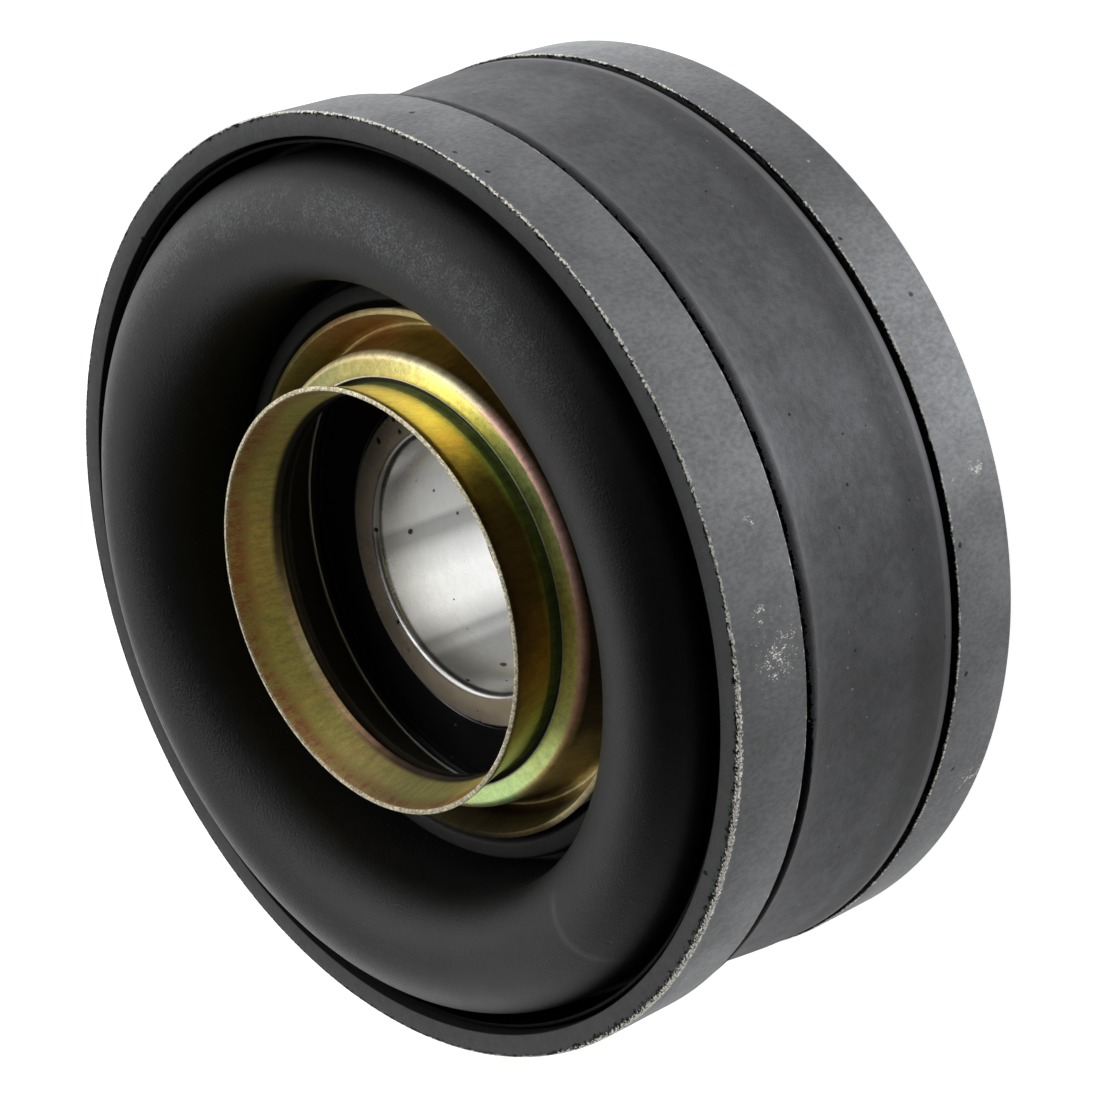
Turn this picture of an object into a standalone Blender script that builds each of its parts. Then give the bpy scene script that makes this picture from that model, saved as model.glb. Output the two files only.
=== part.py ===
"""Driveshaft centre bearing: a sealed ball bearing hung in a rubber cushion between two steel rings.

The shaft axis is +Z and the front, with the long dust collar, is up. The origin is on the axis, in the
plane of the rear ring's rear face. All sizes are in metres.
"""
import math

import bmesh
import bpy

# Outer rings
ASSEMBLY_WIDTH = 0.0418
RING_RADIUS = 0.05285
RING_WALL = 0.0027
FRONT_RING_WIDTH = 0.0098
REAR_RING_WIDTH = 0.0086
RING_CHAMFER = 0.0004

# Ball bearing
BORE_RADIUS = 0.015
BEARING_RADIUS = 0.031
BEARING_WIDTH = 0.016
BEARING_INSET = 0.0127
TRACK_DEPTH = 0.0009625
RACE_CORNER = 0.001
BORE_CORNER = 0.0007
BALL_COUNT = 9

# Seals, pressed into a groove in the outer race
SEAL_THICKNESS = 0.001
SEAL_INSET = 0.0004
SEAL_GROOVE_DEPTH = 0.0006
SEAL_GROOVE_START = 0.0005
SEAL_LIP_HEIGHT = 0.0006
SEAL_LIP_WIDTH = 0.0011
SEAL_LAND_STEP = 0.0004

# Ball cage of two stamped halves and its rivets
CAGE_SHEET = 0.0007
CAGE_WIDTH = 0.0026
CAGE_SEAL_GAP = 0.0007375
RIVET_RADIUS = 0.0006
RIVET_HEAD_OVERLAP = 0.00055
RIVET_HEAD_HEIGHT = 0.0005
RIVET_HEAD_CORNER = 0.0003

# Sleeve that the rubber is bonded to
SLEEVE_WALL = 0.0012

# Zinc plated shield cup: a hat over the bearing's face and a flared rim round it
CUP_SHEET = 0.0009
CUP_SEAT_INSET = 0.0001
CUP_SEAT_WIDTH = 0.0005
CUP_FOOT_CORNER = 0.0002
HAT_HEIGHT = 0.00785
HAT_TAPER = 0.00132
HAT_SHOULDER = 0.0009
HAT_LEDGE = 0.00248
RIM_HEIGHT = 0.0052
RIM_FLARE = 0.00176

# Dust collar that stands in the hat's hole
COLLAR_SHEET = 0.0007
COLLAR_FLARE = 0.0009
COLLAR_BEND = 0.0012
FRONT_COLLAR_REACH = 0.0149
REAR_COLLAR_REACH = 0.0118

# Rubber cushion: a hollow roll in front, an outer leg in the rings and an inner leg on the sleeve
LINING_INSET = 0.0012
LINING_THICKNESS = 0.0006
ROLL_GAP = 0.00205
ROLL_RISE = 0.0046
ROLL_GROOVE_DEPTH = 0.0075
MOUTH_GAP = 0.0021
MOUTH_DEPTH = 0.0018
MOUTH_SKIN = 0.0004
VOID_CROWN_SHARE = 0.355
VOID_FOOT = 0.001
OUTER_LEG_SHARE = 0.31
INNER_LEG_SHARE = 0.21
LIP_HEIGHT = 0.0028
LIP_WIDTH = 0.0021
LIP_ROUND = 0.0009
BAND_SINK = 0.0016
BAND_RISE = 0.0007
BEAD_DROP = 0.0003
BEAD_TOP = 0.00125
BEAD_WIDTH = 0.0025
BEAD_FOOT = 0.0004
BEAD_SPREAD = 0.005
BAND_LIP_ROUND = 0.001
BAND_LIP_GAP = 0.0007

# Clearance between two pieces that touch on the real bearing
FIT = 0.0003

# Sides of the turned pieces and balls
RING_STEPS = 44
SHEET_STEPS = 36
RACE_STEPS = 28
RIVET_STEPS = 6
BALL_STEPS = 10
BALL_BANDS = 7
POCKET_STEPS = 6
SMOOTH_ANGLE = math.radians(32)
MERGE = 1e-7

# Places that follow from the sizes
RING_INNER = RING_RADIUS - RING_WALL
BEARING_FRONT = ASSEMBLY_WIDTH - BEARING_INSET
BEARING_REAR = BEARING_FRONT - BEARING_WIDTH
BEARING_CENTRE = BEARING_REAR + BEARING_WIDTH / 2
PITCH_RADIUS = (BORE_RADIUS + BEARING_RADIUS) / 2
CAGE_CROWN = BEARING_WIDTH / 2 - SEAL_GROOVE_START - SEAL_THICKNESS - CAGE_SEAL_GAP
TRACK_RADIUS = CAGE_CROWN - CAGE_SHEET
BALL_RADIUS = TRACK_RADIUS - FIT
INNER_LAND = PITCH_RADIUS - TRACK_RADIUS + TRACK_DEPTH
OUTER_LAND = PITCH_RADIUS + TRACK_RADIUS - TRACK_DEPTH
BALL_SPACING = 2 * math.pi / BALL_COUNT
SLEEVE_INNER = BEARING_RADIUS + FIT
SLEEVE_OUTER = SLEEVE_INNER + SLEEVE_WALL
CUP_BASE = FIT + CUP_SHEET
CUP_SEAT = OUTER_LAND + CUP_SEAT_INSET
HAT_RADIUS = CUP_SEAT - HAT_TAPER
HOLE_RADIUS = HAT_RADIUS - HAT_LEDGE
COLLAR_RADIUS = HOLE_RADIUS - FIT

MATERIALS = {
    "ring_paint": ((0.135, 0.142, 0.150), 0.55, 0.25),
    "cushion_rubber": ((0.035, 0.036, 0.038), 0.62, 0.0),
    "sleeve_steel": ((0.30, 0.30, 0.30), 0.45, 0.9),
    "yellow_zinc": ((0.62, 0.52, 0.22), 0.32, 0.9),
    "race_steel": ((0.62, 0.61, 0.59), 0.22, 1.0),
    "ball_steel": ((0.75, 0.75, 0.76), 0.08, 1.0),
    "cage_steel": ((0.50, 0.49, 0.46), 0.35, 1.0),
    "seal_rubber": ((0.02, 0.02, 0.022), 0.30, 0.0),
}


def clear_scene():
    """Remove what a new file holds."""
    for obj in list(bpy.data.objects):
        bpy.data.objects.remove(obj, do_unlink=True)


def make_materials():
    """One Principled material for each finish."""
    made = {}
    for name, (colour, roughness, metallic) in MATERIALS.items():
        material = bpy.data.materials.new(name)
        material.use_nodes = True
        shader = material.node_tree.nodes["Principled BSDF"]
        shader.inputs["Base Color"].default_value = (*colour, 1.0)
        shader.inputs["Roughness"].default_value = roughness
        shader.inputs["Metallic"].default_value = metallic
        material.diffuse_color = (*colour, 1.0)
        made[name] = material
    return made


def add_object(name, mesh, finish, parent=None, location=(0, 0, 0), rotation=(0, 0, 0)):
    """Place a mesh as a named piece with its material."""
    if not mesh.materials:
        mesh.materials.append(finish)
    obj = bpy.data.objects.new(name, mesh)
    obj.location = location
    obj.rotation_euler = rotation
    obj.parent = parent
    bpy.context.scene.collection.objects.link(obj)
    return obj


def mesh_from_bmesh(name, bm):
    """Close a bmesh into a mesh whose faces point out, shaded smooth but for its corners."""
    bmesh.ops.remove_doubles(bm, verts=bm.verts, dist=MERGE)
    bmesh.ops.recalc_face_normals(bm, faces=bm.faces)
    mesh = bpy.data.meshes.new(name)
    bm.to_mesh(mesh)
    bm.free()
    mesh.shade_smooth()
    mesh.set_sharp_from_angle(angle=SMOOTH_ANGLE)
    return mesh


def turned(name, profile, steps):
    """Turn a closed outline of (radius, height) points about the Z axis."""
    bm = bmesh.new()
    verts = [bm.verts.new((radius, 0, height)) for radius, height in profile]
    edges = []
    for first, second in zip(verts, verts[1:] + verts[:1]):
        if first.co.x > MERGE or second.co.x > MERGE:
            edges.append(bm.edges.new((first, second)))
    bmesh.ops.spin(bm, geom=verts + edges, cent=(0, 0, 0), axis=(0, 0, 1),
                   angle=2 * math.pi, steps=steps, use_merge=True)
    return mesh_from_bmesh(name, bm)


def arc(centre, radius, start, end, count):
    """Points of an arc in the (radius, height) plane, its angles in degrees from the radius axis."""
    points = []
    for index in range(count + 1):
        angle = math.radians(start + (end - start) * index / count)
        points.append((centre[0] + radius * math.cos(angle), centre[1] + radius * math.sin(angle)))
    return points


def ring_profile(width):
    """A flat hoop with its four edges broken."""
    inner, outer, corner = RING_INNER, RING_RADIUS, RING_CHAMFER
    return [(inner, 0), (outer - corner, 0), (outer, corner), (outer, width - corner),
            (outer - corner, width), (inner, width)]


def race_track(side):
    """The ball groove of a race, from low to high; side is -1 on the inner race and 1 on the outer."""
    land = OUTER_LAND if side > 0 else INNER_LAND
    half_angle = math.degrees(math.acos(abs(land - PITCH_RADIUS) / TRACK_RADIUS))
    points = arc((PITCH_RADIUS, 0), TRACK_RADIUS, -half_angle, half_angle, 5)
    return [(PITCH_RADIUS + side * (radius - PITCH_RADIUS), height) for radius, height in points]


def outer_race_profile():
    """The outer race about the bearing's centre, with its ball groove and two seal grooves."""
    half = BEARING_WIDTH / 2
    outer = BEARING_RADIUS
    mouth = OUTER_LAND + SEAL_LAND_STEP
    groove = mouth + SEAL_GROOVE_DEPTH
    start = half - SEAL_GROOVE_START
    end = start - SEAL_THICKNESS - FIT
    upper = [(OUTER_LAND, end), (groove, end), (groove, start), (mouth, start), (mouth, half),
             (outer - RACE_CORNER, half), (outer, half - RACE_CORNER)]
    lower = [(radius, -height) for radius, height in reversed(upper)]
    return race_track(1) + upper + lower


def inner_race_profile():
    """The inner race about the bearing's centre, with its ball groove and rounded bore corners."""
    half = BEARING_WIDTH / 2
    upper = [(INNER_LAND, half), (BORE_RADIUS + BORE_CORNER, half), (BORE_RADIUS, half - RACE_CORNER)]
    lower = [(radius, -height) for radius, height in reversed(upper)]
    return race_track(-1) + upper + lower


def seal_profile():
    """A seal below the bearing's face: its bead in the outer race's groove, its lip at the inner race."""
    face = -SEAL_INSET
    back = -SEAL_GROOVE_START - SEAL_THICKNESS
    body = OUTER_LAND + SEAL_LAND_STEP - FIT
    bead = body + SEAL_GROOVE_DEPTH
    bead_top = -SEAL_GROOVE_START - FIT
    lip = INNER_LAND + FIT
    return [(lip, face), (body, face), (body, bead_top), (bead, bead_top), (bead, back),
            (lip + SEAL_LIP_WIDTH + SEAL_LIP_HEIGHT, back), (lip + SEAL_LIP_WIDTH, back - SEAL_LIP_HEIGHT),
            (lip, back - SEAL_LIP_HEIGHT)]


def cage_station(inner, outer, turn):
    """Four corners of the cage strip at one place round a pocket, in the frame of the ball at angle turn."""
    corners = []
    for (along, height), radius in ((inner, -1), (outer, -1), (outer, 1), (inner, 1)):
        out = PITCH_RADIUS + radius * CAGE_WIDTH / 2
        corners.append((out * math.cos(turn) - along * math.sin(turn),
                        out * math.sin(turn) + along * math.cos(turn), height))
    return corners


def cage_mesh():
    """The upper half of the cage: a strip that arches over each ball and lies flat between two."""
    pocket = TRACK_RADIUS
    crown = CAGE_CROWN
    inner_start = math.asin(FIT / 2 / pocket)
    outer_start = math.asin((FIT / 2 + CAGE_SHEET) / crown)
    bm = bmesh.new()
    loops = []
    for ball in range(BALL_COUNT):
        for step in range(POCKET_STEPS + 1):
            share = step / POCKET_STEPS
            low = math.pi - inner_start - share * (math.pi - 2 * inner_start)
            high = math.pi - outer_start - share * (math.pi - 2 * outer_start)
            inner = (pocket * math.cos(low), pocket * math.sin(low))
            outer = (crown * math.cos(high), crown * math.sin(high))
            corners = cage_station(inner, outer, ball * BALL_SPACING)
            loops.append([bm.verts.new(corner) for corner in corners])
    for here, there in zip(loops, loops[1:] + loops[:1]):
        for corner in range(4):
            after = (corner + 1) % 4
            bm.faces.new((here[corner], here[after], there[after], there[corner]))
    return mesh_from_bmesh("cage_half", bm)


def rivet_place(index):
    """The middle of the flat land between two balls, on the cage's mid-plane."""
    radii = []
    for edge in (-1, 1):
        out = PITCH_RADIUS + edge * CAGE_WIDTH / 2
        land_half_angle = BALL_SPACING / 2 - math.atan(CAGE_CROWN / out)
        radii.append(math.hypot(out, CAGE_CROWN) * math.cos(land_half_angle))
    radius = sum(radii) / 2
    angle = (index + 0.5) * BALL_SPACING
    return (radius * math.cos(angle), radius * math.sin(angle), 0)


def rivet_profile():
    """A rivet with a flat-topped head at each end."""
    under = FIT / 2 + CAGE_SHEET + FIT
    top = under + RIVET_HEAD_HEIGHT
    head = RIVET_RADIUS + FIT + RIVET_HEAD_OVERLAP
    flat = head - RIVET_HEAD_CORNER
    return [(0, -top), (flat, -top), (head, -under), (RIVET_RADIUS, -under),
            (RIVET_RADIUS, under), (head, under), (flat, top), (0, top)]


def drill_rivet_holes(front_half, rear_half):
    """Cut the rivet holes with one hidden cutter of short pins."""
    bm = bmesh.new()
    for index in range(BALL_COUNT):
        made = bmesh.ops.create_cone(bm, cap_ends=True, segments=RIVET_STEPS, radius1=RIVET_RADIUS + FIT,
                                     radius2=RIVET_RADIUS + FIT, depth=4 * CAGE_SHEET)
        bmesh.ops.translate(bm, verts=made["verts"], vec=rivet_place(index))
    cutter_mesh = bpy.data.meshes.new("rivet_hole_pins")
    bm.to_mesh(cutter_mesh)
    bm.free()
    cutter = bpy.data.objects.new("rivet_hole_pins", cutter_mesh)
    cutter.parent = front_half.parent
    cutter.hide_render = True
    cutter.display_type = "WIRE"
    bpy.context.scene.collection.objects.link(cutter)
    for obj in (front_half, rear_half):
        cut = obj.modifiers.new("rivet_holes", "BOOLEAN")
        cut.operation = "DIFFERENCE"
        cut.solver = "EXACT"
        cut.object = cutter


def sleeve_profile():
    """The sleeve round the bearing, both ends turned in over the outer race's faces."""
    lip = flare_back(FIT + SLEEVE_WALL) + 2 * FIT
    low = BEARING_REAR - FIT
    high = BEARING_FRONT + FIT
    return [(lip, low - SLEEVE_WALL), (SLEEVE_OUTER, low - SLEEVE_WALL),
            (SLEEVE_OUTER, high + SLEEVE_WALL), (lip, high + SLEEVE_WALL),
            (lip, high), (SLEEVE_INNER, high), (SLEEVE_INNER, low), (lip, low)]


def flare_direction():
    """Unit vector up the flared rim of the cup, as (radius, height)."""
    rise = RIM_HEIGHT - CUP_BASE
    length = math.hypot(RIM_FLARE, rise)
    return RIM_FLARE / length, rise / length


def flare_back(height):
    """Radius of the back of the flared rim at a height above the bearing's face."""
    out, up = flare_direction()
    foot = CUP_SEAT + CUP_SEAT_WIDTH + CUP_SHEET / up
    return foot + (height - CUP_BASE) * out / up


def cup_profile():
    """The shield cup above the bearing's face: hat top, hat wall, seat on the outer race and flared rim."""
    out, up = flare_direction()
    seat_end = CUP_SEAT + CUP_SEAT_WIDTH
    tip = (seat_end + RIM_FLARE, RIM_HEIGHT)
    tip_back = (tip[0] + CUP_SHEET * up, tip[1] - CUP_SHEET * out)
    shoulder = arc((HAT_RADIUS - HAT_SHOULDER, HAT_HEIGHT - HAT_SHOULDER), HAT_SHOULDER, 90, 10, 3)
    under_top = HAT_HEIGHT - CUP_SHEET
    return ([(HOLE_RADIUS, HAT_HEIGHT)] + shoulder
            + [(CUP_SEAT, CUP_BASE), (seat_end, CUP_BASE), tip, tip_back,
               (flare_back(CUP_BASE), CUP_BASE), (flare_back(FIT) - CUP_FOOT_CORNER, FIT),
               (hat_inside(FIT), FIT), (hat_inside(under_top), under_top), (HOLE_RADIUS, under_top)])


def hat_inside(height):
    """Radius of the hat's inner wall at a height above the bearing's face."""
    rise = HAT_HEIGHT - HAT_SHOULDER - CUP_BASE
    wall = CUP_SHEET * math.hypot(HAT_TAPER, rise) / rise
    return CUP_SEAT - wall - (height - CUP_BASE) * HAT_TAPER / rise


def collar_profile(reach):
    """A flared tube through the hat's hole, with a flange that lies behind the hat's top."""
    flange_top = HAT_HEIGHT - CUP_SHEET - FIT
    flange_back = flange_top - COLLAR_SHEET
    edge = hat_inside(flange_top) - FIT
    inside = COLLAR_RADIUS - COLLAR_SHEET
    bend = arc((inside + COLLAR_BEND, flange_back + COLLAR_BEND), COLLAR_BEND, 180, 270, 3)
    corner = COLLAR_SHEET / 2
    return ([(COLLAR_RADIUS + COLLAR_FLARE, reach), (COLLAR_RADIUS + COLLAR_FLARE - COLLAR_SHEET, reach)]
            + bend + [(edge, flange_back), (edge, flange_top), (COLLAR_RADIUS + corner, flange_top),
                      (COLLAR_RADIUS, flange_top + corner)])


def lip_profile():
    """The rubber lip round the cup's rim, above the bearing's face, from its outer foot to its inner foot."""
    foot = FIT + SLEEVE_WALL + FIT
    top = foot + LIP_HEIGHT
    inside = flare_back(top) + 2 * FIT
    crest = arc((inside + LIP_ROUND, top - LIP_ROUND), LIP_ROUND, 30, 180, 3)
    return [(inside + LIP_WIDTH, top - LIP_HEIGHT / 2)] + crest + [(flare_back(foot) + 2 * FIT, foot)]


def cushion_profile():
    """Section of the rubber cushion, from the front groove over the roll and round to the outer band."""
    leg_outer = RING_INNER - FIT
    lining = leg_outer - LINING_THICKNESS
    top = ASSEMBLY_WIDTH
    roll_outer = RING_INNER - ROLL_GAP
    roll_inner = SLEEVE_OUTER + MOUTH_GAP
    roll_radius = (roll_outer - roll_inner) / 2
    roll_centre = (roll_outer + roll_inner) / 2
    roll_height = top + ROLL_RISE - roll_radius
    groove_low = top - ROLL_GROOVE_DEPTH
    sleeve_side = SLEEVE_OUTER + FIT
    mouth_side = sleeve_side + MOUTH_SKIN
    mouth_low = BEARING_FRONT + FIT + SLEEVE_WALL - MOUTH_DEPTH
    mouth_round = (roll_inner - mouth_side) / 2

    front = [(leg_outer, top - LINING_INSET), (lining, top - LINING_INSET), (lining, groove_low),
             (roll_outer, groove_low)]
    roll = arc((roll_centre, roll_height), roll_radius, 0, 180, 9)
    mouth = arc((mouth_side + mouth_round, mouth_low + mouth_round), mouth_round, 0, -180, 3)
    front_lip = [(radius, BEARING_FRONT + height) for radius, height in lip_profile()]
    front_lip.append((sleeve_side, front_lip[-1][1]))
    rear_lip = [(radius, BEARING_REAR - height) for radius, height in reversed(lip_profile())]
    rear_lip.insert(0, (sleeve_side, rear_lip[0][1]))

    rubber_depth = leg_outer - sleeve_side
    inner_leg = sleeve_side + INNER_LEG_SHARE * rubber_depth
    outer_leg = leg_outer - OUTER_LEG_SHARE * rubber_depth
    void = [(inner_leg, BEARING_REAR + VOID_FOOT), (inner_leg, mouth_low)]
    void += arc((roll_centre, roll_height), VOID_CROWN_SHARE * roll_radius, 180, 0, 4)
    void += [(outer_leg, mouth_low), (outer_leg, REAR_RING_WIDTH + FIT)]
    rear = [(lining, 2 * LINING_INSET), (lining, LINING_INSET), (leg_outer, LINING_INSET)]

    rear_edge = REAR_RING_WIDTH + BAND_LIP_GAP
    band = RING_RADIUS - BAND_SINK
    lip_round = (band + BAND_RISE - BAND_LIP_ROUND, rear_edge + BAND_LIP_ROUND)
    front_edge = top - FRONT_RING_WIDTH - FIT
    outside = [(leg_outer, rear_edge - FIT)]
    outside += arc(lip_round, BAND_LIP_ROUND, -90, 0, 3)
    bead = RING_RADIUS - BEAD_DROP
    outside += [(band, front_edge - BEAD_SPREAD), (band + BEAD_FOOT, front_edge - BEAD_WIDTH),
                (bead, front_edge - BEAD_TOP), (bead, front_edge), (leg_outer, front_edge)]
    return front + roll + mouth + front_lip + rear_lip + void + rear + outside


def build():
    """Make every piece of the centre bearing."""
    clear_scene()
    finish = make_materials()
    flipped = (math.pi, 0, 0)

    bearing = bpy.data.objects.new("bearing_axis", None)
    bearing.location = (0, 0, BEARING_CENTRE)
    bpy.context.scene.collection.objects.link(bearing)

    front_ring = turned("front_outer_ring", ring_profile(FRONT_RING_WIDTH), RING_STEPS)
    rear_ring = turned("rear_outer_ring", ring_profile(REAR_RING_WIDTH), RING_STEPS)
    add_object("front_outer_ring", front_ring, finish["ring_paint"],
               location=(0, 0, ASSEMBLY_WIDTH - FRONT_RING_WIDTH))
    add_object("rear_outer_ring", rear_ring, finish["ring_paint"])

    cushion = turned("rubber_cushion", cushion_profile(), RING_STEPS)
    add_object("rubber_cushion", cushion, finish["cushion_rubber"])
    sleeve = turned("bearing_sleeve", sleeve_profile(), SHEET_STEPS)
    add_object("bearing_sleeve", sleeve, finish["sleeve_steel"])

    front_face = (0, 0, BEARING_WIDTH / 2)
    rear_face = (0, 0, -BEARING_WIDTH / 2)
    cup = turned("shield_cup", cup_profile(), SHEET_STEPS)
    add_object("front_shield_cup", cup, finish["yellow_zinc"], bearing, front_face)
    add_object("rear_shield_cup", cup, finish["yellow_zinc"], bearing, rear_face, flipped)
    front_collar = turned("front_dust_collar", collar_profile(FRONT_COLLAR_REACH), SHEET_STEPS)
    rear_collar = turned("rear_dust_collar", collar_profile(REAR_COLLAR_REACH), SHEET_STEPS)
    add_object("front_dust_collar", front_collar, finish["yellow_zinc"], bearing, front_face)
    add_object("rear_dust_collar", rear_collar, finish["yellow_zinc"], bearing, rear_face, flipped)

    outer_race = turned("outer_race", outer_race_profile(), RACE_STEPS)
    inner_race = turned("inner_race", inner_race_profile(), RACE_STEPS)
    add_object("outer_race", outer_race, finish["race_steel"], bearing)
    add_object("inner_race", inner_race, finish["race_steel"], bearing)
    seal = turned("seal", seal_profile(), RACE_STEPS)
    add_object("front_seal", seal, finish["seal_rubber"], bearing, front_face)
    add_object("rear_seal", seal, finish["seal_rubber"], bearing, rear_face, flipped)

    half = cage_mesh()
    front_half = add_object("front_cage_half", half, finish["cage_steel"], bearing)
    rear_half = add_object("rear_cage_half", half, finish["cage_steel"], bearing, rotation=flipped)
    drill_rivet_holes(front_half, rear_half)
    rivet = turned("cage_rivet", rivet_profile(), RIVET_STEPS)

    bm = bmesh.new()
    bmesh.ops.create_uvsphere(bm, u_segments=BALL_STEPS, v_segments=BALL_BANDS, radius=BALL_RADIUS)
    ball = mesh_from_bmesh("ball", bm)
    for index in range(BALL_COUNT):
        angle = index * BALL_SPACING
        place = (PITCH_RADIUS * math.cos(angle), PITCH_RADIUS * math.sin(angle), 0)
        add_object(f"ball_{index + 1}", ball, finish["ball_steel"], bearing, place)
        add_object(f"cage_rivet_{index + 1}", rivet, finish["cage_steel"], bearing, rivet_place(index))


build()
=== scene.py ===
"""Driveshaft centre bearing: the dressed model and its studio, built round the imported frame."""
import math

import bmesh
import bpy
from bpy.props import FloatProperty, FloatVectorProperty, IntProperty, PointerProperty
from mathutils import Matrix, Vector


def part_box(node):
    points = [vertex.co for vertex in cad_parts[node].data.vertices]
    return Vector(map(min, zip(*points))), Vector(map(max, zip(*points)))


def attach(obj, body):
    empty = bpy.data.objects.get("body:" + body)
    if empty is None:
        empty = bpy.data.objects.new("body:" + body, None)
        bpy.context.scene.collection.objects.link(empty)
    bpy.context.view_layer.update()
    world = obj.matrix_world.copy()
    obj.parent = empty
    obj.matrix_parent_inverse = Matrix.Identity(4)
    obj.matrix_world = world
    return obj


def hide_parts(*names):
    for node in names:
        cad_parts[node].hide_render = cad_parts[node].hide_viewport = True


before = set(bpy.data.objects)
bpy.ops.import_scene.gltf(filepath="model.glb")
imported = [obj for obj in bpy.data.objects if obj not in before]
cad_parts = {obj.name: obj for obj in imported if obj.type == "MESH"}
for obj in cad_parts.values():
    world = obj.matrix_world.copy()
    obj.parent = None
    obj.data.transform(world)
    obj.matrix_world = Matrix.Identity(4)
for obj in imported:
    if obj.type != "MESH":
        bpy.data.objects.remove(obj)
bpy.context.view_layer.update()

bl_info = {
    "name": "Driveshaft Centre Bearing",
    "version": (1, 0, 0),
    "blender": (4, 5, 0),
    "location": "View3D > Sidebar > Centre Bearing",
    "description": "Models a rubber-mounted driveshaft centre bearing, piece by piece",
    "category": "Add Mesh",
}

FRONT_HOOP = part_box("front_outer_ring")
REAR_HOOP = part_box("rear_outer_ring")
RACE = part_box("outer_race")
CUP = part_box("front_shield_cup")
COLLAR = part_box("front_dust_collar")
REAR_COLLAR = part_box("rear_dust_collar")
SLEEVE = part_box("bearing_sleeve")
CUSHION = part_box("rubber_cushion")
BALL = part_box("ball_1")
MIDDLE = (RACE[1].z + RACE[0].z) / 2
# Distances of the cup's rim and of the two collars' ends from the bearing's middle
RIM_TOP = CUP[1].z - MIDDLE
TUBE_TOP = COLLAR[1].z - MIDDLE
REAR_TUBE_TOP = MIDDLE - REAR_COLLAR[0].z
# How close two places count as one
NEAR = 2e-6
# Faces that meet at less than the first angle look smooth, edges sharper than the second are broken
SMOOTH_BELOW = math.radians(38)
SHARP_ABOVE = math.radians(60)
# The solid cup's outside: radius and height where its flare starts, and how far the flare goes out as it rises
FLARE_RADIUS, FLARE_FOOT, FLARE_SLOPE = 0.02868, 0.0012, 0.44


def length(name, description, default):
    """A size that the user can change."""
    return FloatProperty(name=name, description=description, default=default, min=0.0, precision=5,
                         subtype="DISTANCE", unit="LENGTH")


def colour(name, description, default):
    """A colour that the user can change."""
    return FloatVectorProperty(name=name, description=description, default=default, subtype="COLOR",
                               size=4, min=0.0, max=1.0)


class HoopSettings(bpy.types.PropertyGroup):
    """Sizes and colours of the two steel hoops."""
    outer_radius: length("Outer radius", "Outside of both hoops", FRONT_HOOP[1].x)
    wall: length("Wall", "Thickness of the hoop's strip", 0.0027)
    front_top: length("Front face", "Height of the front hoop's front face", FRONT_HOOP[1].z)
    front_low: length("Front hoop's rear edge", "Height where the front hoop ends", FRONT_HOOP[0].z)
    rear_top: length("Rear hoop's front edge", "Height where the rear hoop ends", REAR_HOOP[1].z)
    corner: length("Corner", "Rounding of the outer corners", 0.00024)
    paint: colour("Paint", "Dark grey paint", (0.125, 0.130, 0.136, 1))
    bare_steel: colour("Bare steel", "Metal where the paint has worn through", (0.84, 0.82, 0.74, 1))


class CushionSettings(bpy.types.PropertyGroup):
    """Sizes and colours of the rubber cushion."""
    fit: length("Clearance", "Gap to the pieces that the rubber is bonded to", 0.0003)
    roll_gap: length("Gap beside the roll", "From the hoop to the roll", 0.00205)
    roll_top: length("Top of the roll", "Height of the roll's crest", CUSHION[1].z)
    groove: length("Groove depth", "Depth of the groove inside the front hoop", 0.0075)
    lining: length("Lining", "Rubber skin inside the hoop", 0.0006)
    mouth: length("Mouth", "Width of the mouth beside the sleeve", 0.0021)
    lip_height: length("Lip height", "Height of the lip round the shield cup", 0.0028)
    lip_width: length("Lip width", "Width of the lip at its foot", 0.0021)
    band_sink: length("Band sink", "Depth of the band's waist below the hoops", 0.0016)
    band_rise: length("Band rise", "Rise of the band towards the rear hoop", 0.0013)
    roll_colour: colour("Roll", "Satin black of the roll", (0.0040, 0.0043, 0.0050, 1))
    band_colour: colour("Band", "Dusty black of the band between the hoops", (0.090, 0.092, 0.098, 1))


class ShieldSettings(bpy.types.PropertyGroup):
    """Sizes and colours of the plated cups and collars."""
    sheet: length("Cup sheet", "Thickness of the cup's sheet", 0.0007)
    hat_height: length("Hat height", "Height of the hat above the bearing", 0.00785)
    hat_shoulder: length("Hat shoulder", "Rounding of the hat's shoulder", 0.0009)
    hole_radius: length("Hole radius", "Hole in the top of the hat", 0.0232)
    hat_radius: length("Hat radius", "Radius of the hat at its shoulder", 0.02588)
    seat_radius: length("Seat radius", "Radius where the hat meets the bearing", 0.0272)
    rim_radius: length("Rim radius", "Radius of the inner side of the rim's edge", 0.02946)
    rim_height: length("Rim height", "Height of the rim above the bearing", 0.0052)
    collar_sheet: length("Collar sheet", "Thickness of the collar's sheet", 0.00055)
    collar_radius: length("Collar radius", "Outside of the collar at its narrowest", 0.0226)
    collar_waist: length("Collar waist", "Height of the collar's bend above the hat", 0.0013)
    collar_neck: length("Collar neck", "How far the collar draws in below its bend", 0.0002)
    collar_flare: length("Collar flare", "Widening of the collar towards its end", 0.0014)
    gold: colour("Gold", "Yellow of the plating", (0.84, 0.64, 0.12, 1))
    olive: colour("Olive", "Green tint of the plating", (0.80, 0.92, 0.26, 1))
    pink: colour("Pink", "Pink tint of the plating", (1.0, 0.62, 0.50, 1))
    brown: colour("Brown", "Brown tint of the plating", (0.22, 0.13, 0.035, 1))


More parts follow.
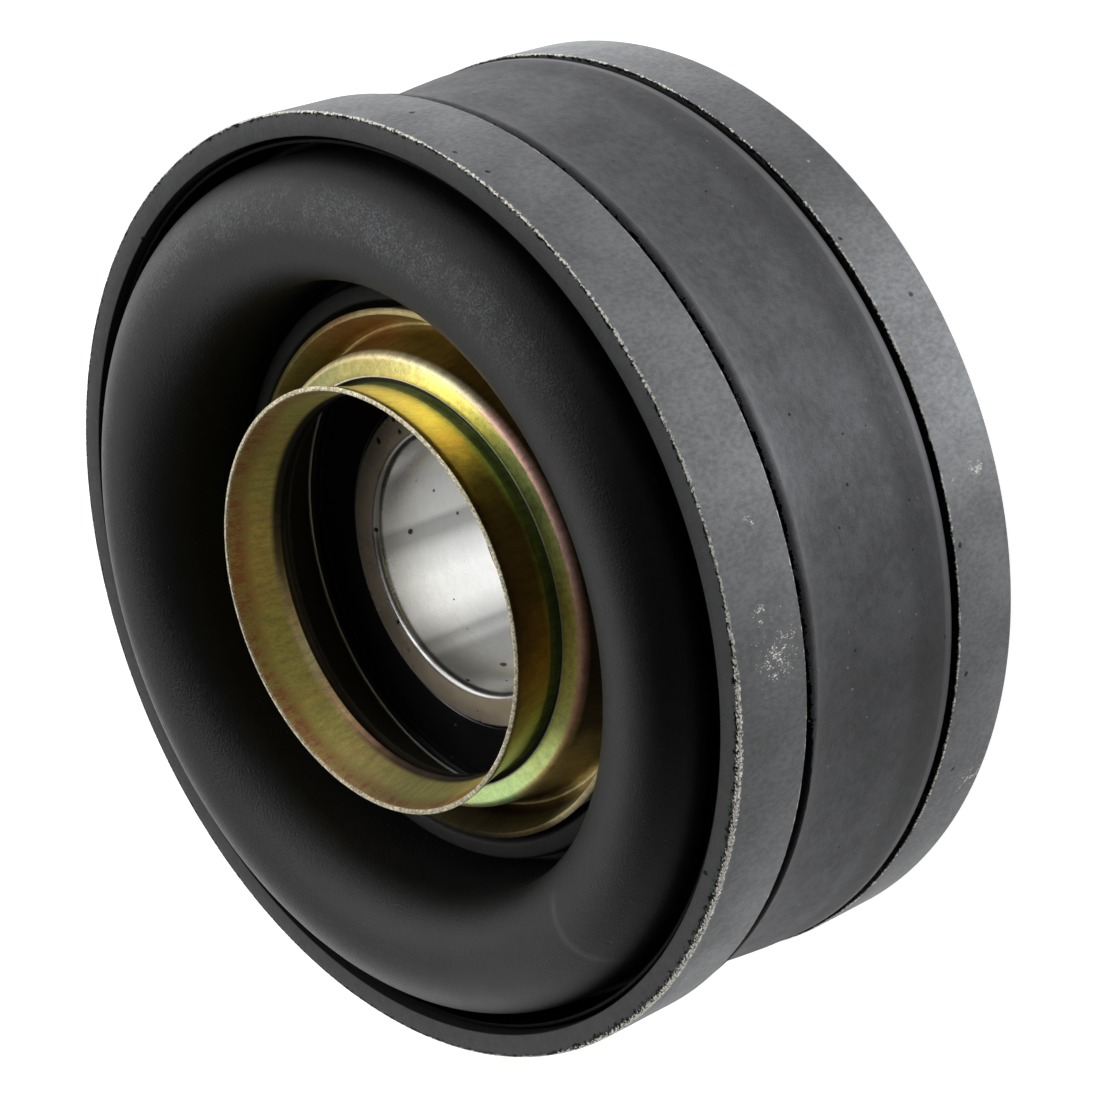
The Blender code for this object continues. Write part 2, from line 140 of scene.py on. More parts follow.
class BearingSettings(bpy.types.PropertyGroup):
    """Sizes and colours of the ball bearing and its sleeve."""
    front: length("Front face", "Height of the bearing's front face", RACE[1].z)
    rear: length("Rear face", "Height of the bearing's rear face", RACE[0].z)
    bore: length("Bore radius", "Radius of the bore", 0.015)
    outer: length("Outer radius", "Radius of the outer race", RACE[1].x)
    pitch: length("Pitch radius", "Radius of the circle of ball centres", 0.023)
    ball: length("Ball radius", "Radius of a ball", (BALL[1].z - BALL[0].z) / 2)
    shoulder: length("Race shoulder", "From the pitch circle to the shoulders of the races", 0.0041)
    balls: IntProperty(name="Balls", description="Number of balls", default=9, min=3, max=20)
    steel: colour("Steel", "Ground bearing steel", (0.60, 0.60, 0.59, 1))
    stain: colour("Stain", "Brownish stain on the inner race's face", (0.38, 0.325, 0.25, 1))
    seal: colour("Seal", "Glossy black seal", (0.006, 0.006, 0.007, 1))


class StageSettings(bpy.types.PropertyGroup):
    """Floor, lights and camera."""
    floor_radius: length("Floor radius", "Size of the floor", 3.0)
    floor_colour: colour("Floor", "Pale floor", (0.35, 0.35, 0.35, 1))
    floor_glow: FloatProperty(name="Floor glow", description="Light that the floor gives off, so that it stays pale",
                              default=0.97, min=0.0, max=5.0)
    room_glow: FloatProperty(name="Room glow", description="Light from the room all round", default=0.18,
                             min=0.0, max=5.0)
    lens: FloatProperty(name="Lens", description="Focal length of the camera in millimetres", default=104.73,
                        min=20.0, max=300.0)


# Modelling helpers

def done(result, step):
    """Stop when a step hasn't finished."""
    if "FINISHED" not in result:
        raise RuntimeError(step + " didn't finish")


def start_clean():
    """Leave edit mode and deselect everything."""
    if bpy.context.object and bpy.context.object.mode != "OBJECT":
        bpy.ops.object.mode_set(mode="OBJECT")
    bpy.ops.object.select_all(action="DESELECT")


def only(piece):
    """Select one piece and make it active."""
    start_clean()
    piece.select_set(True)
    bpy.context.view_layer.objects.active = piece


def arc(centre, radius, start, end, count):
    """Places along an arc in the (radius, height) plane, angles in degrees from the radius axis."""
    places = []
    for index in range(count + 1):
        angle = math.radians(start + (end - start) * index / count)
        places.append((centre[0] + radius * math.cos(angle), centre[1] + radius * math.sin(angle)))
    return places


def draw_ring(name, places, segments, closed=True):
    """Add a circle and extrude it from one (radius, height) place to the next, as on a lathe."""
    start_clean()
    radius, height = places[0]
    bpy.ops.mesh.primitive_circle_add(vertices=segments, radius=radius, location=(0, 0, height))
    piece = bpy.context.object
    piece.name = name
    piece.data.name = name
    bpy.ops.object.transform_apply(location=True, rotation=True, scale=True)
    bpy.ops.object.mode_set(mode="EDIT")
    bpy.ops.mesh.select_mode(type="EDGE")
    bpy.ops.mesh.select_all(action="SELECT")
    for next_radius, next_height in places[1:]:
        bpy.ops.mesh.extrude_edges_move(TRANSFORM_OT_translate={"value": (0, 0, next_height - height)})
        grow = next_radius / radius
        bpy.ops.transform.resize(value=(grow, grow, 1), center_override=(0, 0, 0))
        radius, height = next_radius, next_height
    if closed:
        select_rings(piece, [places[0], places[-1]])
        done(bpy.ops.mesh.bridge_edge_loops(), "closing " + name)
        bpy.ops.mesh.select_all(action="SELECT")
        bpy.ops.mesh.normals_make_consistent(inside=False)
    bpy.ops.object.mode_set(mode="OBJECT")
    return piece


def select_rings(piece, places):
    """In edit mode, select the rings of edges at the given (radius, height) places."""
    bpy.ops.mesh.select_all(action="DESELECT")
    mesh = bmesh.from_edit_mesh(piece.data)
    for edge in mesh.edges:
        ends = [(math.hypot(v.co.x, v.co.y), v.co.z) for v in edge.verts]
        for radius, height in places:
            if all(abs(r - radius) < NEAR and abs(z - height) < NEAR for r, z in ends):
                edge.select_set(True)
    bmesh.update_edit_mesh(piece.data)


def round_rings(piece, corners):
    """Round the edges at (radius, height) by a size, in a number of steps."""
    only(piece)
    bpy.ops.object.mode_set(mode="EDIT")
    bpy.ops.mesh.select_mode(type="EDGE")
    for radius, height, size, steps in corners:
        select_rings(piece, [(radius, height)])
        done(bpy.ops.mesh.bevel(offset=size, segments=steps, affect="EDGES", clamp_overlap=True),
             "rounding " + piece.name)
    bpy.ops.object.mode_set(mode="OBJECT")


def give_thickness(piece, thickness, edge, outward):
    """Turn a sheet's faces to the given (radius, height) direction, thicken it behind them, break its edges."""
    only(piece)
    face = piece.data.polygons[0]
    across = Vector((face.center.x, face.center.y, 0)).normalized()
    facing = face.normal.dot(across) * outward[0] + face.normal.z * outward[1]
    if facing < 0:
        bpy.ops.object.mode_set(mode="EDIT")
        bpy.ops.mesh.select_all(action="SELECT")
        bpy.ops.mesh.flip_normals()
        bpy.ops.object.mode_set(mode="OBJECT")
    wall = piece.modifiers.new("wall", "SOLIDIFY")
    wall.thickness = thickness
    wall.offset = -1
    wall.use_even_offset = True
    done(bpy.ops.object.modifier_apply(modifier="wall"), "the wall of " + piece.name)
    broken = piece.modifiers.new("edges", "BEVEL")
    broken.width = edge
    broken.segments = 2
    broken.limit_method = "ANGLE"
    broken.angle_limit = SHARP_ABOVE
    done(bpy.ops.object.modifier_apply(modifier="edges"), "the edges of " + piece.name)


def turn_over(piece, height):
    """Turn a piece end for end about a level line at a height."""
    only(piece)
    bpy.ops.object.mode_set(mode="EDIT")
    bpy.ops.mesh.select_all(action="SELECT")
    bpy.ops.transform.rotate(value=math.pi, orient_axis="X", center_override=(0, 0, height))
    bpy.ops.object.mode_set(mode="OBJECT")


def copy_piece(piece, name):
    """Copy a piece with a mesh of its own."""
    only(piece)
    done(bpy.ops.object.duplicate(linked=False), "copying " + piece.name)
    copy = bpy.context.object
    copy.name = name
    copy.data.name = name
    return copy


def finish_piece(piece, body, slot, material, *nodes):
    """Shade a piece, give it its finish, and put it in the place of its solids."""
    only(piece)
    sides = [key for face in piece.data.polygons for key in face.edge_keys]
    if len(sides) != 2 * len(piece.data.edges) or len(set(sides)) != len(piece.data.edges):
        raise RuntimeError(piece.name + " isn't closed")
    bpy.ops.object.shade_smooth_by_angle(angle=SMOOTH_BELOW)
    piece.data.materials.clear()
    piece.data.materials.append(material)
    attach(piece, body)
    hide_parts(*nodes)


# Node helpers

NODES_IN_ROW = 12
NODE_STEP = (200, 320)


def add_node(tree, kind, inputs=(), **settings):
    """Add the next node in rows, set its properties, and its inputs by name or number."""
    row, column = divmod(len(tree.nodes), NODES_IN_ROW)
    node = tree.nodes.new(kind)
    node.location = (NODE_STEP[0] * column, -NODE_STEP[1] * row)
    for key, value in settings.items():
        setattr(node, key, value)
    for key, value in dict(inputs).items():
        if isinstance(value, bpy.types.NodeSocket):
            tree.links.new(value, node.inputs[key])
        else:
            node.inputs[key].default_value = value
    return node


def math_node(tree, operation, first, second=0.0, clamp=False):
    """A Math node of two values or sockets."""
    return add_node(tree, "ShaderNodeMath", {0: first, 1: second}, operation=operation, use_clamp=clamp).outputs[0]


def times(tree, first, second):
    """One value times another."""
    return math_node(tree, "MULTIPLY", first, second)


def plus(tree, first, second):
    """The sum of two values."""
    return math_node(tree, "ADD", first, second)


def minus(tree, first, second):
    """The first value less the second."""
    return math_node(tree, "SUBTRACT", first, second)


def higher(tree, first, second):
    """The higher of two values."""
    return math_node(tree, "MAXIMUM", first, second)


def map_node(tree, value, low, high, to_low=0.0, to_high=1.0, smooth=True):
    """A Map Range node, clamped."""
    return add_node(tree, "ShaderNodeMapRange",
                    {"Value": value, "From Min": low, "From Max": high, "To Min": to_low, "To Max": to_high},
                    interpolation_type="SMOOTHSTEP" if smooth else "LINEAR").outputs["Result"]


def mix_colour(tree, share, first, second, blend="MIX"):
    """A colour Mix node."""
    return add_node(tree, "ShaderNodeMix", {0: share, 6: first, 7: second}, data_type="RGBA",
                    blend_type=blend).outputs[2]


def tinted(tree, first, second):
    """One colour times another."""
    return mix_colour(tree, 1.0, first, second, "MULTIPLY")


def shade_of(colour_now, share):
    """A colour setting made lighter or darker."""
    return [part * share for part in colour_now[:3]] + [1]


def noise_node(tree, vector, scale, **more):
    """A Noise Texture's value."""
    values = {key.title(): value for key, value in more.items()}
    return add_node(tree, "ShaderNodeTexNoise", {"Vector": vector, "Scale": scale, **values}).outputs["Fac"]


def use_group(tree, name, **inputs):
    """Place a shared group; input names are given with underscores for spaces."""
    values = {key.replace("_", " "): value for key, value in inputs.items()}
    return add_node(tree, "ShaderNodeGroup", values, node_tree=bpy.data.node_groups[name])


def soft_band(tree, value, low, high, softness):
    """The mask of the shared soft-edged band."""
    return use_group(tree, "Band", Value=value, Low=low, High=high, Softness=softness).outputs[0]


def grain_of(tree, place, scale, fine, stretch=(1, 1, 1)):
    """The height of the shared grain."""
    return use_group(tree, "Grain", Vector=place, Stretch=stretch, Scale=scale, Fine=fine).outputs[0]


def specks_of(tree, place, scale, amount, size):
    """The mask of the shared specks."""
    return use_group(tree, "Specks", Vector=place, Scale=scale, Amount=amount, Size=size).outputs[0]


def start_group(name, inputs, outputs):
    """A node group with named sockets; each input has its kind and default."""
    tree = bpy.data.node_groups.new(name, "ShaderNodeTree")
    for label, kind, default in inputs:
        socket = tree.interface.new_socket(name=label, in_out="INPUT", socket_type=kind)
        if default is not None:
            socket.default_value = default
    for label, kind in outputs:
        tree.interface.new_socket(name=label, in_out="OUTPUT", socket_type=kind)
    return tree, add_node(tree, "NodeGroupInput").outputs, add_node(tree, "NodeGroupOutput").inputs


FLOAT = "NodeSocketFloat"
VECTOR = "NodeSocketVector"


def group_ring_places():
    """Radius, height and turn of a point about the shaft axis."""
    tree, given, result = start_group("Ring places", [("Vector", VECTOR, None)],
                                      [("Radius", FLOAT), ("Height", FLOAT), ("Turn", FLOAT)])
    parts = add_node(tree, "ShaderNodeSeparateXYZ", inputs={0: given["Vector"]})
    x, y = parts.outputs["X"], parts.outputs["Y"]
    square = plus(tree, times(tree, x, x), times(tree, y, y))
    tree.links.new(math_node(tree, "SQRT", square), result["Radius"])
    tree.links.new(parts.outputs["Z"], result["Height"])
    turn = math_node(tree, "ARCTAN2", y, x)
    tree.links.new(math_node(tree, "DEGREES", turn), result["Turn"])
    return tree


def group_band():
    """A soft-edged band between two values."""
    tree, given, result = start_group("Band", [("Value", FLOAT, 0.0), ("Low", FLOAT, 0.0), ("High", FLOAT, 1.0),
                                               ("Softness", FLOAT, 0.1)], [("Mask", FLOAT)])
    soft = given["Softness"]
    up = map_node(tree, given["Value"], minus(tree, given["Low"], soft), plus(tree, given["Low"], soft))
    down = map_node(tree, given["Value"], minus(tree, given["High"], soft), plus(tree, given["High"], soft), 1.0, 0.0)
    tree.links.new(times(tree, up, down), result["Mask"])
    return tree


def group_specks():
    """Scattered small round specks."""
    tree, given, result = start_group("Specks", [("Vector", VECTOR, None), ("Scale", FLOAT, 300.0),
                                                 ("Amount", FLOAT, 0.1), ("Size", FLOAT, 0.2)], [("Mask", FLOAT)])
    cells = add_node(tree, "ShaderNodeTexVoronoi", feature="F1",
                     inputs={"Vector": given["Vector"], "Scale": given["Scale"]})
    pick = add_node(tree, "ShaderNodeSeparateColor", inputs={0: cells.outputs["Color"]})
    chosen = math_node(tree, "LESS_THAN", pick.outputs["Red"], given["Amount"])
    ragged = noise_node(tree, given["Vector"], times(tree, given["Scale"], 3.0))
    size = times(tree, given["Size"], plus(tree, pick.outputs["Green"], 0.3))
    size = times(tree, size, plus(tree, ragged, 0.4))
    inner = times(tree, size, 0.6)
    spot = map_node(tree, cells.outputs["Distance"], inner, size, 1.0, 0.0)
    tree.links.new(times(tree, spot, chosen), result["Mask"])
    return tree


def group_grain():
    """Two layers of noise, stretched by a vector, as a height from 0 to 1."""
    tree, given, result = start_group("Grain", [("Vector", VECTOR, None), ("Stretch", VECTOR, (1, 1, 1)),
                                                ("Scale", FLOAT, 500.0), ("Fine", FLOAT, 0.5)], [("Height", FLOAT)])
    place = add_node(tree, "ShaderNodeVectorMath", operation="MULTIPLY",
                     inputs={0: given["Vector"], 1: given["Stretch"]}).outputs[0]
    broad = noise_node(tree, place, given["Scale"], detail=3.0)
    fine = noise_node(tree, place, times(tree, given["Scale"], 5.0), detail=2.0)
    mix = add_node(tree, "ShaderNodeMix", data_type="FLOAT", inputs={0: given["Fine"], 2: broad, 3: fine})
    tree.links.new(mix.outputs[0], result["Height"])
    return tree


def group_worn_edge():
    """A thin ragged line along one edge of a turned piece, with dark notches beside it."""
    tree, given, result = start_group("Worn edge", [("Vector", VECTOR, None), ("Radius", FLOAT, 0.05),
                                                    ("Height", FLOAT, 0.04), ("Reach", FLOAT, 0.0002),
                                                    ("Breaks", FLOAT, 0.4)], [("Mask", FLOAT), ("Notches", FLOAT)])
    places = add_node(tree, "ShaderNodeGroup", node_tree=bpy.data.node_groups["Ring places"],
                      inputs={"Vector": given["Vector"]})
    across = minus(tree, places.outputs["Radius"], given["Radius"])
    along = minus(tree, places.outputs["Height"], given["Height"])
    squares = plus(tree, times(tree, across, across), times(tree, along, along))
    far = math_node(tree, "SQRT", squares)
    teeth = noise_node(tree, given["Vector"], 3400.0, detail=3.0, roughness=0.8)
    gaps = noise_node(tree, given["Vector"], 420.0, detail=4.0, roughness=0.7)
    tooth = map_node(tree, teeth, 0.40, 0.62, 0.0, 1.7)
    gap = map_node(tree, gaps, minus(tree, given["Breaks"], 0.10), plus(tree, given["Breaks"], 0.10), 0.25, 1.0)
    reach = times(tree, times(tree, given["Reach"], tooth), gap)
    mask = map_node(tree, far, times(tree, reach, 0.6), reach, 1.0, 0.0)
    tree.links.new(mask, result["Mask"])
    nibbles = noise_node(tree, given["Vector"], 1500.0, detail=4.0, roughness=0.75)
    bite = map_node(tree, nibbles, 0.40, 0.62, 0.8, 3.0, smooth=False)
    depth = plus(tree, across, times(tree, given["Reach"], bite))
    inward = map_node(tree, depth, 0.0, 0.00008)
    beyond = map_node(tree, across, times(tree, given["Reach"], -0.5), 0.0, 1.0, 0.0)
    notch = times(tree, inward, beyond)
    tree.links.new(times(tree, notch, minus(tree, 1.0, mask)), result["Notches"])
    return tree


def group_scuff():
    """A patch of fine short strokes along the shaft's direction, at one place."""
    tree, given, result = start_group("Scuff", [("Vector", VECTOR, None), ("Place", VECTOR, (0, 0, 0)),
                                                ("Size", FLOAT, 0.003), ("Amount", FLOAT, 0.5)], [("Mask", FLOAT)])
    away = add_node(tree, "ShaderNodeVectorMath", operation="DISTANCE",
                    inputs={0: given["Vector"], 1: given["Place"]}).outputs["Value"]
    near = map_node(tree, away, 0.0, given["Size"], 1.0, 0.0)
    strokes = add_node(tree, "ShaderNodeMapping", inputs={"Vector": given["Vector"], "Rotation": (0.0, 0.25, 0.0),
                                                          "Scale": (9000.0, 9000.0, 3400.0)})
    noise = noise_node(tree, strokes.outputs[0], 1.0, detail=2.0)
    clumps = noise_node(tree, given["Vector"], 1100.0, detail=2.0)
    share = times(tree, near, map_node(tree, clumps, 0.35, 0.6))
    drop = times(tree, share, times(tree, given["Amount"], 0.36))
    limit = minus(tree, 0.78, drop)
    high = plus(tree, limit, 0.05)
    tree.links.new(map_node(tree, noise, limit, high, 0.0, 1.0), result["Mask"])
    return tree


def start_material(name, **constants):
    """A Principled material with its place node; constants are set on the shader's own sockets."""
    material = bpy.data.materials.new(name)
    material.use_nodes = True
    tree = material.node_tree
    shader = tree.nodes["Principled BSDF"]
    for key, value in constants.items():
        shader.inputs[key.replace("_", " ")].default_value = value
    place = add_node(tree, "ShaderNodeTexCoord").outputs["Object"]
    ring = use_group(tree, "Ring places", Vector=place)
    return material, tree, shader, place, ring.outputs


def add_bump(tree, shader, height, distance, strength=1.0):
    """Feed a height into the shader's normal."""
    bump = add_node(tree, "ShaderNodeBump", inputs={"Height": height, "Distance": distance, "Strength": strength})
    tree.links.new(bump.outputs["Normal"], shader.inputs["Normal"])


def painted_light_by_turn(tree, ring, colour_now, halves):
    """Lighten and darken a colour round the part by turn: painted light and shade."""
    tone = turn_ramp(tree, ring["Turn"], [(turn, (grey, grey, grey, 1)) for turn, grey in halves])
    return tinted(tree, colour_now, tinted(tree, tone, (2, 2, 2, 1)))


# Turn in degrees and half the brightness of the painted light and shade round the part
PAINTED_LIGHT_TURNS = ((-180, 0.50), (-165, 0.50), (-150, 0.47), (-135, 0.36), (-120, 0.29), (-105, 0.54), (-92, 0.94),
            (-77, 0.76), (-60, 0.48), (-45, 0.48), (-30, 0.66), (-10, 0.76), (12, 0.66), (40, 0.50), (180, 0.50))
# The same painted light and shade, laid on the rear hoop besides
REAR_PAINTED_LIGHT_TURNS = ((-180, 0.50), (-165, 0.48), (-150, 0.38), (-135, 0.50), (-120, 0.64), (-105, 0.57), (-90, 0.68),
                 (-75, 0.60), (-60, 0.30), (-45, 0.43), (-30, 0.61), (-10, 0.60), (12, 0.54), (40, 0.50), (180, 0.50))


def paint_material(hoops):
    """Thin dark paint, worn to bare metal along the edges and scuffed in a few places, with painted light and shade
    round the hoops and painted shade on the front face, between the hoops and inside them.
    """
    material, tree, shader, place, ring = start_material("Hoop paint", IOR=1.5)
    link = tree.links.new
    outer, inner = hoops.outer_radius, hoops.outer_radius - hoops.wall
    brush = grain_of(tree, place, scale=2300.0, fine=0.35, stretch=(1, 1, 0.6))
    cloud = grain_of(tree, place, scale=160.0, fine=0.25)
    tone = plus(tree, times(tree, brush, 0.6), times(tree, cloud, 0.4))
    dark = shade_of(hoops.paint, 0.78)
    light = shade_of(hoops.paint, 1.30)
    painted = mix_colour(tree, map_node(tree, tone, 0.36, 0.64), dark, light)

    # The rear hoop's paint made lighter: painted light, for the stronger light that falls on the rear hoop
    rear_painted_light = map_node(tree, ring["Height"], hoops.rear_top, hoops.rear_top + 0.001, 1.28, 1.0)
    painted = tinted(tree, painted, rear_painted_light)
    # Painted light and shade round the hoops by turn; the rear hoop gets more of it below
    painted = painted_light_by_turn(tree, ring, painted, PAINTED_LIGHT_TURNS)
    behind = map_node(tree, ring["Height"], hoops.rear_top, hoops.rear_top + 0.001, 1.0, 0.0)
    painted = mix_colour(tree, behind, painted, painted_light_by_turn(tree, ring, painted, REAR_PAINTED_LIGHT_TURNS))
    # The front face painted darker: painted shade, with the grain of the sheared face in it
    top = map_node(tree, ring["Height"], hoops.front_top - 0.00010, hoops.front_top - 0.00004)
    sheared = grain_of(tree, place, scale=900.0, fine=0.5)
    shade = map_node(tree, sheared, 0.35, 0.65, 0.20, 0.36, smooth=False)
    painted = mix_colour(tree, top, painted, tinted(tree, list(hoops.paint), shade))
    # Painted shade: the faces between the two hoops and the hoops' inner walls painted black, where shade falls
    # between the parts
    between = soft_band(tree, ring["Height"], hoops.rear_top - 0.00008, hoops.front_low + 0.00008, 0.00004)
    inside = map_node(tree, ring["Radius"], inner + 0.00008, inner + 0.00016, 1.0, 0.0)
    shaded = higher(tree, inside, between)
    painted = mix_colour(tree, shaded, painted, (0.004, 0.004, 0.004, 1))

    wear_and_shade_side = soft_band(tree, ring["Turn"], -176.0, -112.0, 12.0)
    reach = map_node(tree, wear_and_shade_side, 0.0, 1.0, 0.00018, 0.00036, smooth=False)
    breaks = map_node(tree, wear_and_shade_side, 0.0, 1.0, 0.43, 0.32, smooth=False)
    front = use_group(tree, "Worn edge", Vector=place, Radius=outer - 0.00006, Height=hoops.front_top - 0.00006,
                      Reach=reach, Breaks=breaks)
    back = use_group(tree, "Worn edge", Vector=place, Radius=outer, Height=hoops.front_low + 0.00008, Reach=0.00016,
                     Breaks=0.52)
    rear = use_group(tree, "Worn edge", Vector=place, Radius=outer, Height=hoops.rear_top - 0.00008, Reach=0.00017,
                     Breaks=0.47)
    bare = higher(tree, front.outputs["Mask"], higher(tree, back.outputs["Mask"], rear.outputs["Mask"]))
    for number, (spot, size, amount) in enumerate(SCUFFS):
        scuff = use_group(tree, "Scuff", Vector=place, Place=spot, Size=size, Amount=amount)
        bare = higher(tree, bare, scuff.outputs[0])
    dots = specks_of(tree, place, scale=900.0, amount=0.012, size=0.20)
    bare = higher(tree, bare, times(tree, dots, 0.4))
    pits = specks_of(tree, place, scale=620.0, amount=0.030, size=0.26)
    sunk = higher(tree, front.outputs["Notches"], times(tree, pits, 0.8))
    painted = mix_colour(tree, sunk, painted, (0.004, 0.004, 0.003, 1))
    link(mix_colour(tree, bare, painted, list(hoops.bare_steel)), shader.inputs["Base Color"])
    link(higher(tree, times(tree, bare, 0.4), math_node(tree, "SUBTRACT", sunk, bare, clamp=True)),
         shader.inputs["Metallic"])
    link(map_node(tree, tone, 0.35, 0.65, 0.62, 0.48, smooth=False), shader.inputs["Roughness"])
    height = minus(tree, tone, times(tree, pits, 0.8))
    add_bump(tree, shader, height, 0.00011, 1.0)
    return material


# Place, size and amount of each scuff on the hoops
SCUFFS = (((-0.0190, -0.0493, 0.0362), 0.0062, 0.74),
          ((-0.0168, -0.0501, 0.0348), 0.0045, 0.68),
          ((-0.0148, -0.0508, 0.0374), 0.0026, 0.80),
          ((-0.0056, -0.0525, 0.0362), 0.0016, 0.80),
          ((-0.0092, -0.0520, 0.0030), 0.0024, 0.92),
          ((-0.0094, -0.0520, 0.0070), 0.0014, 0.80),
          ((-0.0405, -0.0340, 0.0018), 0.0034, 0.86))


def rubber_material(cushion, hoops):
    """Satin black roll, dark lips and a matte band with dust; painted highlights on the roll's crest and the band's
    lip, painted light and shade round the band, and painted shade in the gaps, the groove, the lining and on the
    roll's outer flank.
    """
    material, tree, shader, place, ring = start_material("Cushion rubber", IOR=1.43)
    link = tree.links.new
    inner = hoops.outer_radius - hoops.wall
    outside = map_node(tree, ring["Radius"], inner - 0.0003, inner + 0.0003)
    cloud = grain_of(tree, place, scale=180.0, fine=0.3)
    patch = grain_of(tree, place, scale=900.0, fine=0.45, stretch=(1, 1, 1.5))
    grain = grain_of(tree, place, scale=4200.0, fine=0.3)
    dust = specks_of(tree, place, scale=900.0, amount=0.14, size=0.16)
    pits = specks_of(tree, place, scale=820.0, amount=0.11, size=0.17)

    roll = mix_colour(tree, cloud, shade_of(cushion.roll_colour, 0.6), shade_of(cushion.roll_colour, 1.5))
    blotch = plus(tree, times(tree, cloud, 0.5), times(tree, patch, 0.5))
    band = mix_colour(tree, map_node(tree, blotch, 0.36, 0.64), shade_of(cushion.band_colour, 0.76),
                      shade_of(cushion.band_colour, 1.36))
    # Painted highlight: light mottled speckle over the roll's crest, a painted sheen of its highlight
    crest = times(tree, soft_band(tree, ring["Turn"], -66.0, 22.0, 24.0),
                  times(tree, map_node(tree, ring["Height"], 0.0436, 0.0456),
                        map_node(tree, ring["Radius"], 0.0398, 0.0424)))
    painted_crest_sheen = times(tree, crest, map_node(tree, blotch, 0.43, 0.55, 0.15, 1.0))
    painted_crest_glints = times(tree, painted_crest_sheen, map_node(tree, grain, 0.40, 0.66, 0.0, 0.8))
    roll = mix_colour(tree, painted_crest_glints, roll, (0.13, 0.137, 0.147, 1))
    # Painted shade on the roll's outer flank, beside the hoop
    flank_shade = times(tree, soft_band(tree, ring["Turn"], -130.0, -72.0, 22.0),
                  times(tree, map_node(tree, ring["Radius"], 0.0412, 0.0455, 0.0, 0.72), minus(tree, 1.0, outside)))
    near_lip = soft_band(tree, ring["Height"], hoops.rear_top + 0.0018, hoops.rear_top + 0.0060, 0.0014)
    darker = times(tree, near_lip, map_node(tree, patch, 0.35, 0.6, 0.2, 0.75))
    band = mix_colour(tree, darker, band, shade_of(cushion.band_colour, 0.35))
    # Painted highlight along the rounded rim of the band's lip, next to the rear hoop
    rim = soft_band(tree, ring["Height"], hoops.rear_top + 0.0011, hoops.rear_top + 0.0018, 0.0002)
    band = mix_colour(tree, times(tree, rim, 0.7), band, shade_of(cushion.band_colour, 1.9))
    # Painted light and shade round the band by turn
    band = painted_light_by_turn(tree, ring, band, PAINTED_LIGHT_TURNS)
    # Painted shadow: the gap under the rear hoop's edge and the groove behind the front hoop painted black, with
    # painted shade on the slope beside the groove
    gap = map_node(tree, ring["Height"], hoops.rear_top + 0.0006, hoops.rear_top + 0.0009, 1.0, 0.0)
    ragged = plus(tree, ring["Height"], times(tree, minus(tree, patch, 0.5), 0.0015))
    # Turns where the painted shadow line behind the front hoop is widest
    wear_and_shade_side = soft_band(tree, ring["Turn"], -176.0, -125.0, 14.0)
    edge = map_node(tree, wear_and_shade_side, 0.0, 1.0, hoops.front_low - 0.0011, hoops.front_low - 0.0021, smooth=False)
    groove_shadow = math_node(tree, "GREATER_THAN", ragged, edge)
    shade = map_node(tree, ring["Height"], hoops.front_low - 0.0024, hoops.front_low - 0.0005, 0.0, 0.8)
    band = mix_colour(tree, shade, band, shade_of(cushion.band_colour, 0.18))
    closed = higher(tree, gap, groove_shadow)
    band = mix_colour(tree, closed, band, (0.002, 0.002, 0.002, 1))
    skin = mix_colour(tree, outside, roll, band)

    # The rubber lining inside the hoop painted near black: painted shade deep in the groove
    lining = soft_band(tree, ring["Radius"], inner - 0.0011, inner - 0.0001, 0.0001)
    skin = mix_colour(tree, lining, skin, (0.0012, 0.0012, 0.0013, 1))
    lips = soft_band(tree, ring["Radius"], 0.0285, 0.0328, 0.0003)
    skin = mix_colour(tree, times(tree, lips, 0.85), skin, mix_colour(tree, patch, (0.008, 0.008, 0.008, 1),
                                                                      (0.030, 0.030, 0.030, 1)))
    around = add_node(tree, "ShaderNodeVectorMath", operation="DISTANCE",
                      inputs={0: place, 1: MOULD_MARK}).outputs["Value"]
    mark = soft_band(tree, around, 0.0087, 0.0093, 0.0006)
    side = add_node(tree, "ShaderNodeSeparateXYZ", inputs={0: place})
    kept = times(tree, map_node(tree, side.outputs["Y"], -0.0195, -0.0165),
                 map_node(tree, side.outputs["X"], -0.0365, -0.0335, 1.0, 0.0))
    mark = times(tree, times(tree, mark, kept), minus(tree, 1.0, outside))
    skin = mix_colour(tree, times(tree, mark, 0.6), skin, (0.075, 0.077, 0.080, 1))
    dusted = mix_colour(tree, times(tree, dust, plus(tree, times(tree, outside, 0.30), 0.06)), skin,
                        (0.42, 0.42, 0.40, 1))
    final = mix_colour(tree, times(tree, pits, 0.85), dusted, (0.003, 0.003, 0.003, 1))
    link(final, shader.inputs["Base Color"])
    satin = map_node(tree, cloud, 0.3, 0.7, 0.36, 0.44, smooth=False)
    matte = higher(tree, outside, lips)
    rough = add_node(tree, "ShaderNodeMix", data_type="FLOAT", inputs={0: matte, 2: satin, 3: 0.70})
    link(rough.outputs[0], shader.inputs["Roughness"])
    # Painted shade: Metallic over the near-black base takes the reflection away in the shadowed gap and groove, on the
    # lining and on the roll's outer flank
    sunken = higher(tree, closed, times(tree, shade, 0.6))
    unlit = higher(tree, times(tree, sunken, outside), lining)
    unlit = higher(tree, unlit, flank_shade)
    link(unlit, shader.inputs["Metallic"])
    height = minus(tree, times(tree, grain, 1.5), pits)
    add_bump(tree, shader, height, 0.00008, 0.9)
    return material


# Middle of the round mould mark on the roll
MOULD_MARK = (-0.0374, -0.0236, 0.0454)


def turn_ramp(tree, turn, stops):
    """Colours round the shaft: each stop is a turn in degrees and a colour."""
    share = map_node(tree, turn, -180.0, 180.0, smooth=False)
    ramp = add_node(tree, "ShaderNodeValToRGB")
    marks = ramp.color_ramp.elements
    marks[0].position, marks[0].color = (stops[0][0] + 180) / 360, stops[0][1]
    marks[1].position, marks[1].color = (stops[-1][0] + 180) / 360, stops[-1][1]
    for degrees, tint in stops[1:-1]:
        marks.new((degrees + 180) / 360).color = tint
    tree.links.new(share, ramp.inputs[0])
    return ramp.outputs[0]


